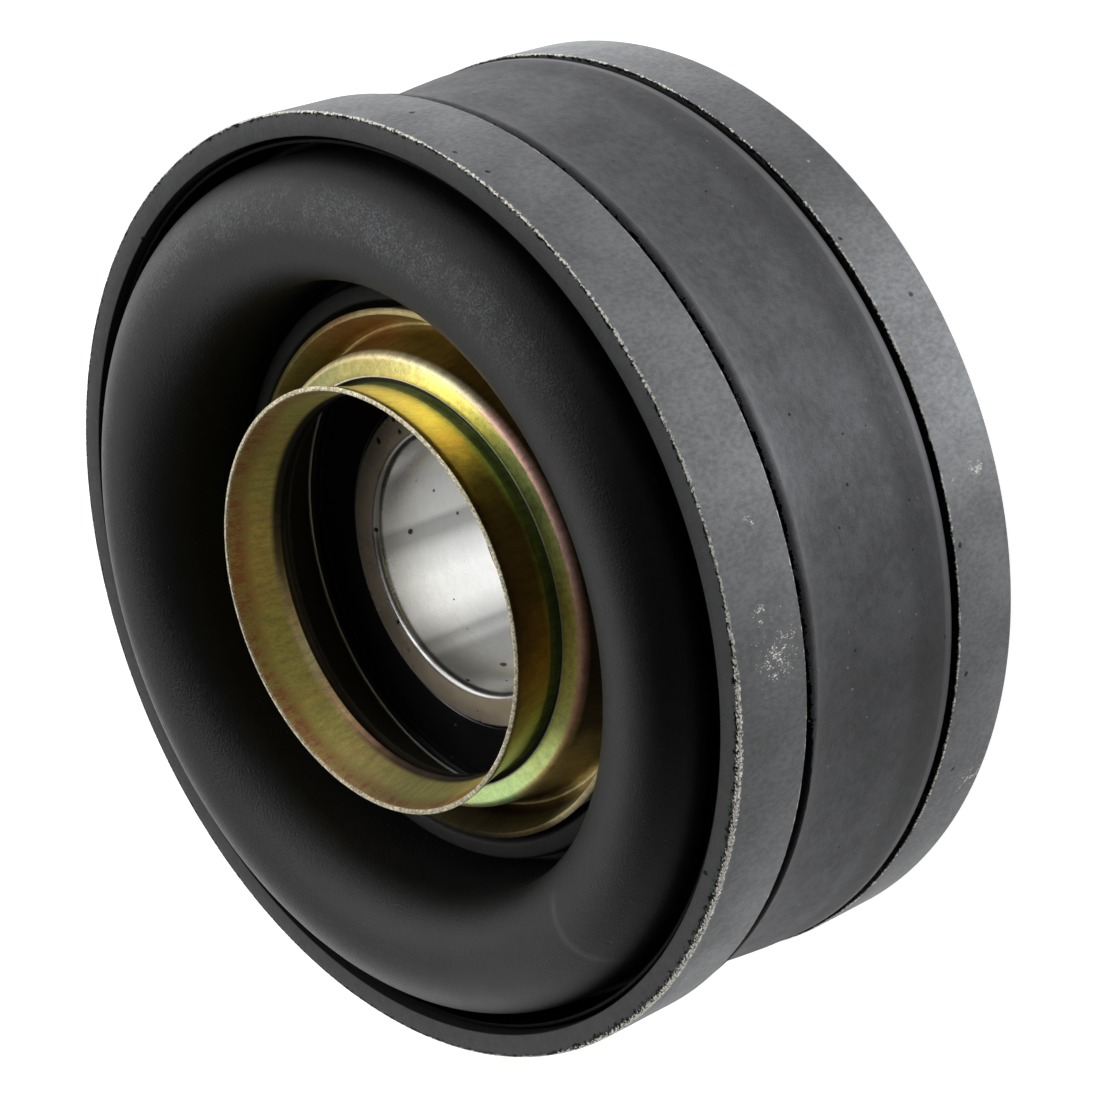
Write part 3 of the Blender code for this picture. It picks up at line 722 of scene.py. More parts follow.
def zinc_material(shield, bearing):
    """Yellow plating whose tint drifts from gold through green and pink to brown, with painted highlights, reflections
    and shade on the cup and the collar.
    """
    material, tree, shader, place, ring = start_material("Yellow zinc", Metallic=1.0)
    link = tree.links.new
    gold, olive = list(shield.gold), list(shield.olive)
    pink, brown = list(shield.pink), list(shield.brown)
    mint, dark = (0.60, 0.80, 0.33, 1), (0.30, 0.42, 0.12, 1)
    cream, orange, khaki = (0.94, 0.84, 0.42, 1), (0.62, 0.32, 0.05, 1), (0.62, 0.54, 0.20, 1)
    middle = (bearing.front + bearing.rear) / 2
    drift = grain_of(tree, place, scale=90.0, fine=0.15)
    draw = grain_of(tree, place, scale=1500.0, fine=0.5, stretch=(1, 1, 0.10))
    sparkle = grain_of(tree, place, scale=3500.0, fine=0.5)
    wander = times(tree, minus(tree, drift, 0.5), 60.0)
    turn = plus(tree, ring["Turn"], wander)
    above = math_node(tree, "ABSOLUTE", minus(tree, ring["Height"], middle))
    hat = bearing.front - middle + shield.hat_height
    shift = times(tree, minus(tree, drift, 0.5), 0.0030)
    climb = plus(tree, above, shift)

    # The rim wall's tints round the cup: the plating's tint, with lighter and darker stops that are painted
    # reflections and painted shade
    rim = turn_ramp(tree, turn, ((-180, (0.24, 0.18, 0.07, 1)), (-165, (0.86, 0.74, 0.40, 1)),
                                 (-145, (0.20, 0.15, 0.06, 1)), (-122, (0.12, 0.09, 0.04, 1)),
                                 (-90, (0.14, 0.105, 0.045, 1)), (-38, (0.25, 0.19, 0.07, 1)),
                                 (-12, (0.56, 0.46, 0.21, 1)), (2, (0.60, 0.38, 0.16, 1)),
                                 (22, (0.38, 0.33, 0.12, 1)), (45, (0.26, 0.20, 0.07, 1)),
                                 (135, (0.26, 0.20, 0.09, 1)), (150, (0.10, 0.08, 0.035, 1)),
                                 (180, (0.24, 0.18, 0.07, 1))))
    # Painted highlight: a thin light line along the rim's edge
    edge = map_node(tree, above, RIM_TOP - 0.00034, RIM_TOP - 0.00026)
    wide = map_node(tree, ring["Radius"], shield.seat_radius + 0.0010, shield.seat_radius + 0.0014)
    rim_highlight = times(tree, edge, wide)
    rim = mix_colour(tree, rim_highlight, rim, (0.90, 0.76, 0.42, 1))

    # The ledge's tints round the cup: the plating's tint, partly lightened and darkened as painted highlight and shade
    ledge = turn_ramp(tree, turn, ((-180, mint), (-165, mint), (-150, (0.86, 0.98, 0.34, 1)),
                                   (-130, (1.0, 0.94, 0.24, 1)), (-100, (0.96, 0.94, 0.24, 1)),
                                   (-74, (0.74, 0.98, 0.34, 1)), (-57, (0.96, 1.0, 0.42, 1)),
                                   (-40, (0.86, 0.82, 0.34, 1)), (-20, (0.62, 0.52, 0.18, 1)),
                                   (5, (0.36, 0.36, 0.15, 1)), (90, gold), (150, mint), (180, mint)))
    on_top = map_node(tree, above, hat - 0.00080, hat - 0.00060)
    narrow = map_node(tree, ring["Radius"], shield.hat_radius - 0.0003, shield.hat_radius + 0.0001, 1.0, 0.0)
    colour_now = mix_colour(tree, times(tree, on_top, narrow), rim, ledge)
    # The shoulder's tints: the plating's pink, partly a painted highlight along the shoulder's rounded edge
    shoulder = soft_band(tree, ring["Radius"], shield.hat_radius - 0.00070, shield.hat_radius + 0.0001, 0.0002)
    raised = map_node(tree, above, hat - 0.0016, hat - 0.0010)
    sunlit = times(tree, times(tree, on_top, narrow), soft_band(tree, turn, -136.0, -84.0, 12.0))
    shoulder_tint_and_highlight = times(tree, shoulder, raised)
    shoulder_tints_and_highlights = turn_ramp(tree, turn, ((-180, mint), (-155, (0.98, 0.70, 0.26, 1)), (-130, (1.0, 0.56, 0.32, 1)),
                                      (-90, pink), (-65, pink), (-45, (0.98, 0.90, 0.56, 1)),
                                      (-10, (0.90, 0.74, 0.40, 1)), (40, cream), (150, (0.80, 0.62, 0.36, 1)),
                                      (180, mint)))
    colour_now = mix_colour(tree, shoulder_tint_and_highlight, colour_now, shoulder_tints_and_highlights)

    # The tube's outside round the cup: the plating's tint, with painted reflections in gold and painted shade in brown
    tube_out = turn_ramp(tree, turn, ((-180, khaki), (-150, (0.80, 0.70, 0.22, 1)), (-138, (0.94, 0.86, 0.20, 1)),
                                      (-124, (0.92, 0.50, 0.08, 1)), (-106, (0.34, 0.19, 0.05, 1)), (-78, brown),
                                      (-64, (0.98, 0.60, 0.10, 1)), (-52, gold), (-10, khaki), (180, khaki)))
    # Painted shade and light at the tube's foot: dark green next to the hole, bright yellow on the lit side
    low = map_node(tree, climb, hat + 0.0002, hat + 0.0020)
    lit = soft_band(tree, turn, -58.0, 40.0, 10.0)
    foot_tint = mix_colour(tree, lit, olive, (1.0, 1.0, 0.42, 1))
    lower = mix_colour(tree, map_node(tree, climb, hat - 0.0006, hat + 0.0008), dark, foot_tint)
    tube_out = mix_colour(tree, low, lower, tube_out)
    reddish = times(tree, map_node(tree, climb, hat + 0.0040, hat + 0.0062),
                    map_node(tree, draw, 0.42, 0.58, 0.25, 1.0))
    tube_in = mix_colour(tree, reddish, mix_colour(tree, map_node(tree, drift, 0.42, 0.58), (0.62, 0.57, 0.15, 1),
                                                   (0.66, 0.54, 0.15, 1)), (0.40, 0.16, 0.06, 1))
    # Painted light and shade on the tube's inside, lighter and darker round the turn
    painted_tube_light = turn_ramp(tree, ring["Turn"], ((-180, (0.35, 0.35, 0.35, 1)), (0, (0.45, 0.45, 0.45, 1)),
                                           (30, (0.48, 0.47, 0.45, 1)), (50, (0.66, 0.62, 0.60, 1)),
                                           (65, (0.74, 0.68, 0.60, 1)), (82, (0.62, 0.58, 0.54, 1)),
                                           (110, (0.56, 0.53, 0.54, 1)), (126, (0.56, 0.53, 0.60, 1)),
                                           (140, (0.42, 0.41, 0.54, 1)), (155, (0.26, 0.26, 0.34, 1)),
                                           (180, (0.26, 0.26, 0.30, 1))))
    tube_in = tinted(tree, tube_in, tinted(tree, painted_tube_light, (2, 2, 2, 1)))
    bend = hat + shield.collar_waist
    # Painted highlight: a bright line round the inside of the collar's bend, on its lit side only
    bright = turn_ramp(tree, turn, ((-180, (0.02, 0.016, 0.01, 1)), (20, (0.015, 0.012, 0.008, 1)),
                                    (52, (0.04, 0.03, 0.012, 1)), (68, (0.24, 0.17, 0.06, 1)),
                                    (82, (0.96, 0.72, 0.32, 1)), (95, (1.0, 0.88, 0.46, 1)),
                                    (112, (1.0, 0.72, 0.36, 1)), (128, (0.60, 0.36, 0.22, 1)),
                                    (144, (0.10, 0.06, 0.035, 1)), (160, (0.03, 0.025, 0.015, 1)),
                                    (180, (0.02, 0.016, 0.01, 1))))
    tube_in = mix_colour(tree, map_node(tree, above, bend - 0.00005, bend + 0.00085, 1.0, 0.0), tube_in, bright)
    # Painted shade: the collar's inside below the bend painted near black
    below = map_node(tree, above, bend - 0.00078, bend - 0.00062, 1.0, 0.0)
    tube_in = mix_colour(tree, below, tube_in, (0.022, 0.018, 0.010, 1))
    end = map_node(tree, ring["Height"], middle - 0.0001, middle + 0.0001, REAR_TUBE_TOP, TUBE_TOP, smooth=False)
    widened = map_node(tree, above, hat + shield.collar_waist, end, 0.0, shield.collar_flare, smooth=False)
    drawn_in = map_node(tree, above, hat + shield.collar_waist - 0.0009, hat + shield.collar_waist - 0.0003,
                        -shield.collar_neck, 0.0)
    wall = plus(tree, plus(tree, widened, drawn_in), shield.collar_radius - shield.collar_sheet / 2)
    within = math_node(tree, "LESS_THAN", ring["Radius"], wall)
    tube = mix_colour(tree, within, tube_out, tube_in)
    # Painted highlight along the collar's end, broken up by the sparkle grain
    tip = map_node(tree, minus(tree, above, end), -0.00014, -0.00005)
    tube = mix_colour(tree, tip, tube, mix_colour(tree, map_node(tree, sparkle, 0.42, 0.58), (0.34, 0.28, 0.16, 1),
                                                  (0.96, 0.90, 0.66, 1)))
    is_tube = times(tree, map_node(tree, above, hat - 0.0012, hat - 0.0010),
                    map_node(tree, ring["Radius"], shield.hole_radius - 0.00006, shield.hole_radius + 0.00002, 1.0,
                             0.0))
    is_tube = higher(tree, is_tube, map_node(tree, above, hat + 0.0001, hat + 0.0002))
    colour_now = mix_colour(tree, is_tube, colour_now, tube)
    hole = times(tree, soft_band(tree, ring["Radius"], shield.hole_radius - 0.0001, shield.hole_radius + 0.00013,
                                 0.00002), soft_band(tree, above, hat - 0.00022, hat + 0.0001, 0.00003))
    # Painted shade: the inside of the cup under the hat painted dark brown
    painted_cup_shade = times(tree, soft_band(tree, above, bearing.front - middle - 0.0001, hat - 0.0005, 0.0001),
                   math_node(tree, "LESS_THAN", ring["Radius"], map_node(tree, above, bearing.front - middle + 0.0011,
                                                                         hat - 0.0010, shield.seat_radius - 0.00038,
                                                                         shield.hat_radius - 0.00040, smooth=False)))
    colour_now = mix_colour(tree, painted_cup_shade, colour_now, (0.060, 0.050, 0.032, 1))
    foot = times(tree, painted_cup_shade, soft_band(tree, above, bearing.front - middle + 0.00012,
                                         bearing.front - middle + 0.00042, 0.00004))
    line = higher(tree, higher(tree, hole, foot), higher(tree, rim_highlight, tip))
    # Painted highlights: white lines at the cup's foot and round the hole in the hat; round the hole the line is also
    # the bare sheared edge
    colour_now = mix_colour(tree, higher(tree, hole, foot), colour_now, (0.88, 0.88, 0.80, 1))

    streak = map_node(tree, draw, 0.34, 0.66, 0.70, 1.20, smooth=False)
    link(tinted(tree, colour_now, streak), shader.inputs["Base Color"])
    smooth = map_node(tree, draw, 0.3, 0.7, 0.30, 0.40, smooth=False)
    inside = times(tree, times(tree, is_tube, within), minus(tree, 1.0, below))
    plain = times(tree, wide, minus(tree, 0.45, times(tree, is_tube, 0.45)))
    outside_foot = times(tree, times(tree, is_tube, 0.4), times(tree, minus(tree, 1.0, within),
                                                                map_node(tree, above, bend + 0.0001, bend + 0.0007,
                                                                         1.0, 0.0)))
    shaded = soft_band(tree, turn, -150.0, -116.0, 12.0)
    dull = inside
    for number, share in enumerate((plain, painted_cup_shade, line, outside_foot, times(tree, shoulder_tint_and_highlight, 0.6),
                                    times(tree, sunlit, 0.45), times(tree, shaded, minus(tree, 1.0, is_tube)))):
        dull = higher(tree, dull, share)
    rougher = plus(tree, times(tree, shoulder_tint_and_highlight, 0.06), times(tree, dull, 0.18))
    link(plus(tree, smooth, rougher), shader.inputs["Roughness"])
    link(minus(tree, 1.0, times(tree, dull, 0.66)), shader.inputs["Metallic"])
    bumps = plus(tree, times(tree, draw, 0.6), times(tree, sparkle, plus(tree, times(tree, shoulder_tint_and_highlight, 1.2), 0.15)))
    add_bump(tree, shader, bumps, 0.00003, 0.6)
    return material


def steel_material(name, bearing, rough_low, rough_high, stained=False):
    """Ground bearing steel with small dark spots; the inner race has a stained face and a bore banded with painted
    reflections.
    """
    material, tree, shader, place, ring = start_material(name, Metallic=1.0)
    link = tree.links.new
    lines = grain_of(tree, place, scale=1600.0, fine=0.5, stretch=(0.4, 0.4, 1))
    cloud = grain_of(tree, place, scale=160.0, fine=0.3)
    spots = specks_of(tree, place, scale=560.0, amount=0.30, size=0.26)
    tone = map_node(tree, lines, 0.3, 0.7, 0.93, 1.04, smooth=False)
    metal = tinted(tree, list(bearing.steel), tone)
    if stained:
        # Painted reflections: lighter and darker bands round the bore
        painted_bands = turn_ramp(tree, ring["Turn"], [(turn, (grey, grey, grey * 0.985, 1)) for turn, grey in PAINTED_BORE_BANDS])
        metal = tinted(tree, painted_bands, tone)
        face = map_node(tree, ring["Radius"], bearing.bore + 0.0007, bearing.bore + 0.0010)
        stain = mix_colour(tree, cloud, shade_of(bearing.stain, 0.7), shade_of(bearing.stain, 1.4))
        metal = mix_colour(tree, face, metal, stain)
        link(minus(tree, 1.0, times(tree, face, 0.45)), shader.inputs["Metallic"])
    link(mix_colour(tree, spots, metal, (0.03, 0.028, 0.025, 1)), shader.inputs["Base Color"])
    link(map_node(tree, cloud, 0.3, 0.7, rough_low, rough_high, smooth=False), shader.inputs["Roughness"])
    add_bump(tree, shader, minus(tree, times(tree, lines, 0.12), spots), 0.00002, 0.4)
    return material


# Turn in degrees and brightness of the painted reflection bands in the bore
PAINTED_BORE_BANDS = ((-180, 0.50), (-150, 0.60), (-130, 0.42), (-100, 0.66), (-70, 0.46), (-40, 0.64), (-10, 0.36), (20, 0.26),
          (42, 0.32), (52, 0.40), (63, 0.46), (66, 0.28), (72, 0.32), (78, 0.62), (90, 0.92), (103, 0.92), (110, 0.72),
          (114, 0.58), (117, 0.34), (122, 0.44), (126, 0.28), (140, 0.30), (160, 0.40), (180, 0.50))


def seal_material(bearing):
    """Glossy moulded rubber with a little dust."""
    material, tree, shader, place, ring = start_material("Seal rubber", IOR=1.52, Coat_Roughness=0.08)
    link = tree.links.new
    cloud = grain_of(tree, place, scale=150.0, fine=0.4)
    dust = specks_of(tree, place, scale=600.0, amount=0.06, size=0.14)
    base = mix_colour(tree, cloud, shade_of(bearing.seal, 0.7), shade_of(bearing.seal, 1.6))
    beyond = map_node(tree, math_node(tree, "ABSOLUTE", minus(tree, ring["Height"], MIDDLE)),
                      bearing.front - MIDDLE + 0.00004, bearing.front - MIDDLE + 0.00010)
    rim = times(tree, beyond, map_node(tree, ring["Radius"], SEAL_RIM - 0.00013, SEAL_RIM - 0.0001))
    dusted = mix_colour(tree, times(tree, dust, 0.25), base, (0.3, 0.3, 0.28, 1))
    link(mix_colour(tree, rim, dusted, (0.74, 0.78, 0.80, 1)), shader.inputs["Base Color"])
    link(times(tree, rim, 0.35), shader.inputs["Metallic"])
    link(map_node(tree, cloud, 0.3, 0.7, 0.16, 0.28, smooth=False), shader.inputs["Roughness"])
    add_bump(tree, shader, cloud, 0.00002, 0.4)
    return material


# Operators

class CENTREBEARING_OT_finishes(bpy.types.Operator):
    """Build the shared node groups and every finish"""
    bl_idname = "centre_bearing.finishes"
    bl_label = "Finishes"

    def execute(self, context):
        scene = context.scene
        for make in (group_ring_places, group_band, group_specks, group_grain, group_worn_edge, group_scuff):
            make()
        paint_material(scene.bearing_hoops)
        rubber_material(scene.bearing_cushion, scene.bearing_hoops)
        zinc_material(scene.bearing_shields, scene.bearing_races)
        steel_material("Race steel", scene.bearing_races, 0.24, 0.34, stained=True)
        steel_material("Ball steel", scene.bearing_races, 0.05, 0.09)
        steel_material("Cage steel", scene.bearing_races, 0.30, 0.42)
        steel_material("Sleeve steel", scene.bearing_races, 0.38, 0.52)
        seal_material(scene.bearing_races)
        return {"FINISHED"}


class CENTREBEARING_OT_hoops(bpy.types.Operator):
    """Model the two steel hoops"""
    bl_idname = "centre_bearing.hoops"
    bl_label = "Steel Hoops"

    def execute(self, context):
        hoops = context.scene.bearing_hoops
        outer, inner = hoops.outer_radius, hoops.outer_radius - hoops.wall
        for name, low, high, node in (("front_hoop", hoops.front_low, hoops.front_top, "front_outer_ring"),
                                      ("rear_hoop", 0.0, hoops.rear_top, "rear_outer_ring")):
            hoop = draw_ring(name, [(inner, low), (outer, low), (outer, high), (inner, high)], 240)
            round_rings(hoop, [(outer, high, hoops.corner, 3), (outer, low, hoops.corner, 3),
                               (inner, high, 0.00018, 2), (inner, low, 0.00018, 2)])
            finish_piece(hoop, "housing", "ring_paint", bpy.data.materials["Hoop paint"], node)
        return {"FINISHED"}


def cushion_section(cushion, hoops, bearing):
    """The section of the cushion, from the front groove over the roll, round to the band."""
    leg = hoops.outer_radius - hoops.wall - cushion.fit
    lining = leg - cushion.lining
    top = hoops.front_top
    sleeve = SLEEVE[1].x
    roll_outer = hoops.outer_radius - hoops.wall - cushion.roll_gap
    roll_inner = sleeve + cushion.mouth
    roll_size = (roll_outer - roll_inner) / 2
    roll_middle = (roll_outer + roll_inner) / 2
    roll_height = cushion.roll_top - roll_size
    groove = top - cushion.groove
    side = sleeve + cushion.fit
    mouth_side = side + 0.0004
    mouth_size = (roll_inner - mouth_side) / 2
    mouth_low = SLEEVE[1].z - 0.0018
    groove_size = (lining - roll_outer) / 2

    places = [(leg, top - 0.0012), (leg - 0.0002, top - 0.0010), (lining + 0.0001, top - 0.0010),
              (lining, top - 0.0012), (lining, groove + groove_size)]
    places += arc((roll_outer + groove_size, groove + groove_size), groove_size, 0, -180, 6)[1:]
    places += arc((roll_middle, roll_height), roll_size, 0, 180, 40)
    places += arc((mouth_side + mouth_size, mouth_low + mouth_size), mouth_size, 0, -180, 8)
    front_lip = lip_section(cushion, bearing, 1, bearing.front)
    rear_lip = lip_section(cushion, bearing, -1, bearing.rear)
    places += front_lip + [(side, front_lip[-1][1])]
    places += [(side, rear_lip[-1][1])] + rear_lip[::-1]

    depth = leg - side
    inner_leg = side + 0.21 * depth
    outer_leg = leg - 0.31 * depth
    crown = 0.355 * roll_size
    foot = bearing.rear + 0.001
    places += arc((inner_leg - 0.0008, foot + 0.0008), 0.0008, -90, 0, 4)
    places += [(inner_leg, mouth_low)]
    places += arc((roll_middle, roll_height), crown, 180, 0, 14)
    places += [(outer_leg, mouth_low), (outer_leg, hoops.rear_top + 0.0012)]
    places += [(outer_leg + 0.0006, hoops.rear_top + 0.0002), (lining - 0.0004, 0.0030), (lining, 0.0022),
               (lining, 0.0012), (leg, 0.0012)]

    rear_edge = hoops.rear_top + 0.0004
    band = hoops.outer_radius - cushion.band_sink
    lip = band + cushion.band_rise
    front_edge = hoops.front_low - cushion.fit
    places += [(leg, rear_edge - 0.0003), (lip - 0.0012, rear_edge - 0.0001)]
    places += arc((lip - 0.0008, rear_edge + 0.0008), 0.0008, -80, 0, 6)
    span = front_edge - rear_edge
    for share in (0.2, 0.3, 0.4, 0.5, 0.6, 0.7):
        places.append((band + cushion.band_rise * (0.5 + 0.5 * math.cos(math.pi * share / 0.75)),
                       rear_edge + span * share))
    bead_top = hoops.outer_radius - 0.0003
    places += [(band, front_edge - 0.0052), (band + 0.0001, front_edge - 0.0042), (band + 0.0003, front_edge - 0.0033),
               (band + 0.0006, front_edge - 0.0025), (bead_top - 0.0003, front_edge - 0.0020),
               (bead_top - 0.00012, front_edge - 0.0017), (bead_top - 0.0001, front_edge - 0.0014),
               (bead_top - 0.0002, front_edge - 0.0011), (bead_top - 0.0005, front_edge - 0.0008),
               (bead_top - 0.0009, front_edge - 0.0005), (bead_top - 0.0012, front_edge - 0.0002),
               (bead_top - 0.0013, front_edge), (leg, front_edge)]
    return places


def lip_section(cushion, bearing, side, face):
    """The lip round a shield cup, from its outer foot to its inner foot; side is 1 in front and -1 behind."""
    foot = 0.0018
    top = foot + cushion.lip_height
    inside = FLARE_RADIUS + (top - FLARE_FOOT) * FLARE_SLOPE + 2 * cushion.fit
    size = 0.0005
    outer = inside + cushion.lip_width
    places = [(outer + 0.0002, top - cushion.lip_height / 2)]
    places += arc((outer - size, top - 0.0002 - size), size, 0, 80, 4)
    places += arc((inside + size, top - size), size, 95, 180, 5)
    places += [(FLARE_RADIUS + (foot - FLARE_FOOT) * FLARE_SLOPE + 2 * cushion.fit, foot)]
    return [(radius, face + side * height) for radius, height in places]


class CENTREBEARING_OT_cushion(bpy.types.Operator):
    """Model the rubber cushion with its hollow roll"""
    bl_idname = "centre_bearing.cushion"
    bl_label = "Rubber Cushion"

    def execute(self, context):
        scene = context.scene
        places = cushion_section(scene.bearing_cushion, scene.bearing_hoops, scene.bearing_races)
        cushion = draw_ring("cushion_moulding", places, 220)
        finish_piece(cushion, "housing", "cushion_rubber", bpy.data.materials["Cushion rubber"], "rubber_cushion")
        return {"FINISHED"}


class CENTREBEARING_OT_cups(bpy.types.Operator):
    """Model the plated shield cups"""
    bl_idname = "centre_bearing.cups"
    bl_label = "Shield Cups"

    def execute(self, context):
        shield, bearing = context.scene.bearing_shields, context.scene.bearing_races
        top = shield.hat_height
        size = shield.hat_shoulder
        foot = shield.sheet + 0.0004
        places = [(shield.hole_radius, top), (shield.hole_radius + 0.0006, top - 0.00007),
                  (shield.hole_radius + 0.0012, top - 0.00019)]
        places += arc((shield.hat_radius - size, top - size - 0.00025), size, 76, 13, 10)
        places += arc((shield.seat_radius + 0.00025, foot), 0.0004, 193, 336, 8)
        places += [((shield.seat_radius + shield.rim_radius) / 2 + 0.00035, 0.0030),
                   (shield.rim_radius, shield.rim_height)]
        places = [(radius, bearing.front + height) for radius, height in places]
        cup = draw_ring("front_cup", places, 200, closed=False)
        give_thickness(cup, shield.sheet, 0.00010, (0, 1))
        rear = copy_piece(cup, "rear_cup")
        turn_over(rear, (bearing.front + bearing.rear) / 2)
        finish_piece(cup, "housing", "yellow_zinc", bpy.data.materials["Yellow zinc"], "front_shield_cup")
        finish_piece(rear, "housing", "yellow_zinc", bpy.data.materials["Yellow zinc"], "rear_shield_cup")
        return {"FINISHED"}


class CENTREBEARING_OT_collars(bpy.types.Operator):
    """Model the dust collars that stand in the cups"""
    bl_idname = "centre_bearing.collars"
    bl_label = "Dust Collars"

    def execute(self, context):
        shield, bearing = context.scene.bearing_shields, context.scene.bearing_races
        middle = (bearing.front + bearing.rear) / 2
        top = bearing.front + shield.hat_height
        under = top - shield.sheet - 0.0003
        for name, tip, node in (("front_collar", COLLAR[1].z, "front_dust_collar"),
                                ("rear_collar", 2 * middle - REAR_COLLAR[0].z, "rear_dust_collar")):
            radius = shield.collar_radius
            waist = top + shield.collar_waist
            places = [(radius + shield.collar_flare, tip)]
            for share in (0.2, 0.4, 0.6, 0.8, 1.0):
                places.append((radius + shield.collar_flare * (1 - share) ** 1.2, tip + (waist - tip) * share))
            neck = radius - shield.collar_neck
            places += [(radius - 0.00001, waist - 0.00030), (radius - 0.00008, waist - 0.00042),
                       (neck + 0.00008, waist - 0.00056), (neck + 0.00001, waist - 0.00070),
                       (neck, under + 0.0009)]
            places += [(neck + 0.00010, under + 0.0005), (neck + 0.00035, under + 0.00016), (neck + 0.0008, under)]
            places += [(COLLAR_FLANGE, under)]
            collar = draw_ring(name, places, 200, closed=False)
            give_thickness(collar, shield.collar_sheet, 0.00012, (1, 0))
            if name == "rear_collar":
                turn_over(collar, middle)
            finish_piece(collar, "housing", "yellow_zinc", bpy.data.materials["Yellow zinc"], node)
        return {"FINISHED"}


COLLAR_FLANGE = 0.0247


# Radius of the bright rim round the seal
SEAL_RIM = 0.02664


class CENTREBEARING_OT_seals(bpy.types.Operator):
    """Model the bearing's seals"""
    bl_idname = "centre_bearing.seals"
    bl_label = "Seals"

    def execute(self, context):
        bearing = context.scene.bearing_races
        inner = bearing.pitch - bearing.shoulder + 0.0003
        body = bearing.pitch + bearing.shoulder + 0.0001
        bead = body + 0.0006
        face, back = -0.0004, -0.0015
        places = [(inner, face - 0.00015), (inner + 0.00015, face), (inner + 0.0010, face),
                  (inner + 0.0012, face - 0.00022), (SEAL_RIM - 0.00012, face - 0.00022), (SEAL_RIM - 0.00010, 0.00002), (SEAL_RIM, 0.00018),
                  (SEAL_RIM + 0.00014, 0.00018), (SEAL_RIM + 0.0002, face - 0.0001), (body, face - 0.0002),
                  (body, -0.0008), (bead, -0.0008), (bead, back), (inner + 0.0017, back),
                  (inner + 0.0011, back - 0.0006), (inner, back - 0.0006)]
        places = [(radius, bearing.front + height) for radius, height in places]
        seal = draw_ring("front_seal_moulding", places, 180)
        rear = copy_piece(seal, "rear_seal_moulding")
        turn_over(rear, (bearing.front + bearing.rear) / 2)
        finish_piece(seal, "housing", "seal_rubber", bpy.data.materials["Seal rubber"], "front_seal")
        finish_piece(rear, "housing", "seal_rubber", bpy.data.materials["Seal rubber"], "rear_seal")
        return {"FINISHED"}


class CENTREBEARING_OT_races(bpy.types.Operator):
    """Model the races and the sleeve round them"""
    bl_idname = "centre_bearing.races"
    bl_label = "Races and Sleeve"

    def execute(self, context):
        bearing = context.scene.bearing_races
        half = (bearing.front - bearing.rear) / 2
        middle = (bearing.front + bearing.rear) / 2
        track = bearing.ball + 0.0003
        opening = math.degrees(math.acos(bearing.shoulder / track))
        groove = arc((bearing.pitch, 0), track, -opening, opening, 16)

        land = bearing.pitch + bearing.shoulder
        mouth, slot = land + 0.0004, land + 0.0010
        upper = [(land, half - 0.0018), (slot, half - 0.0018), (slot, half - 0.0005), (mouth, half - 0.0005),
                 (mouth, half)]
        upper += arc((bearing.outer - 0.001, half - 0.001), 0.001, 90, 0, 5)
        lower = [(radius, -height) for radius, height in reversed(upper)]
        places = [(radius, middle + height) for radius, height in groove + upper + lower]
        outer = draw_ring("outer_race_ring", places, 180)
        finish_piece(outer, "housing", "race_steel", bpy.data.materials["Race steel"], "outer_race")

        land = bearing.pitch - bearing.shoulder
        corner = arc((bearing.bore + 0.0007, half - 0.001), 1.0, 90, 180, 6)
        corner = [(bearing.bore + 0.0007 + (radius - bearing.bore - 0.0007) * 0.0007,
                   half - 0.001 + (height - half + 0.001) * 0.001) for radius, height in corner]
        upper = [(land, half - 0.0002), (land - 0.0002, half)] + corner
        lower = [(radius, -height) for radius, height in reversed(upper)]
        groove = [(2 * bearing.pitch - radius, height) for radius, height in groove]
        places = [(radius, middle + height) for radius, height in groove + upper + lower]
        inner = draw_ring("inner_race_ring", places, 180)
        finish_piece(inner, "inner_race", "race_steel", bpy.data.materials["Race steel"], "inner_race")

        wall = SLEEVE[1].x - bearing.outer - 0.0003
        lip = FLARE_RADIUS + 0.0003 * FLARE_SLOPE + 0.0006 + 0.0002
        low, high = SLEEVE[0].z, SLEEVE[1].z
        places = [(lip, low), (SLEEVE[1].x, low), (SLEEVE[1].x, high), (lip, high), (lip, high - wall),
                  (bearing.outer + 0.0003, high - wall), (bearing.outer + 0.0003, low + wall), (lip, low + wall)]
        sleeve = draw_ring("sleeve_ring", places, 160)
        round_rings(sleeve, [(SLEEVE[1].x, low, 0.0006, 4), (SLEEVE[1].x, high, 0.0006, 4)])
        finish_piece(sleeve, "housing", "sleeve_steel", bpy.data.materials["Sleeve steel"], "bearing_sleeve")
        return {"FINISHED"}


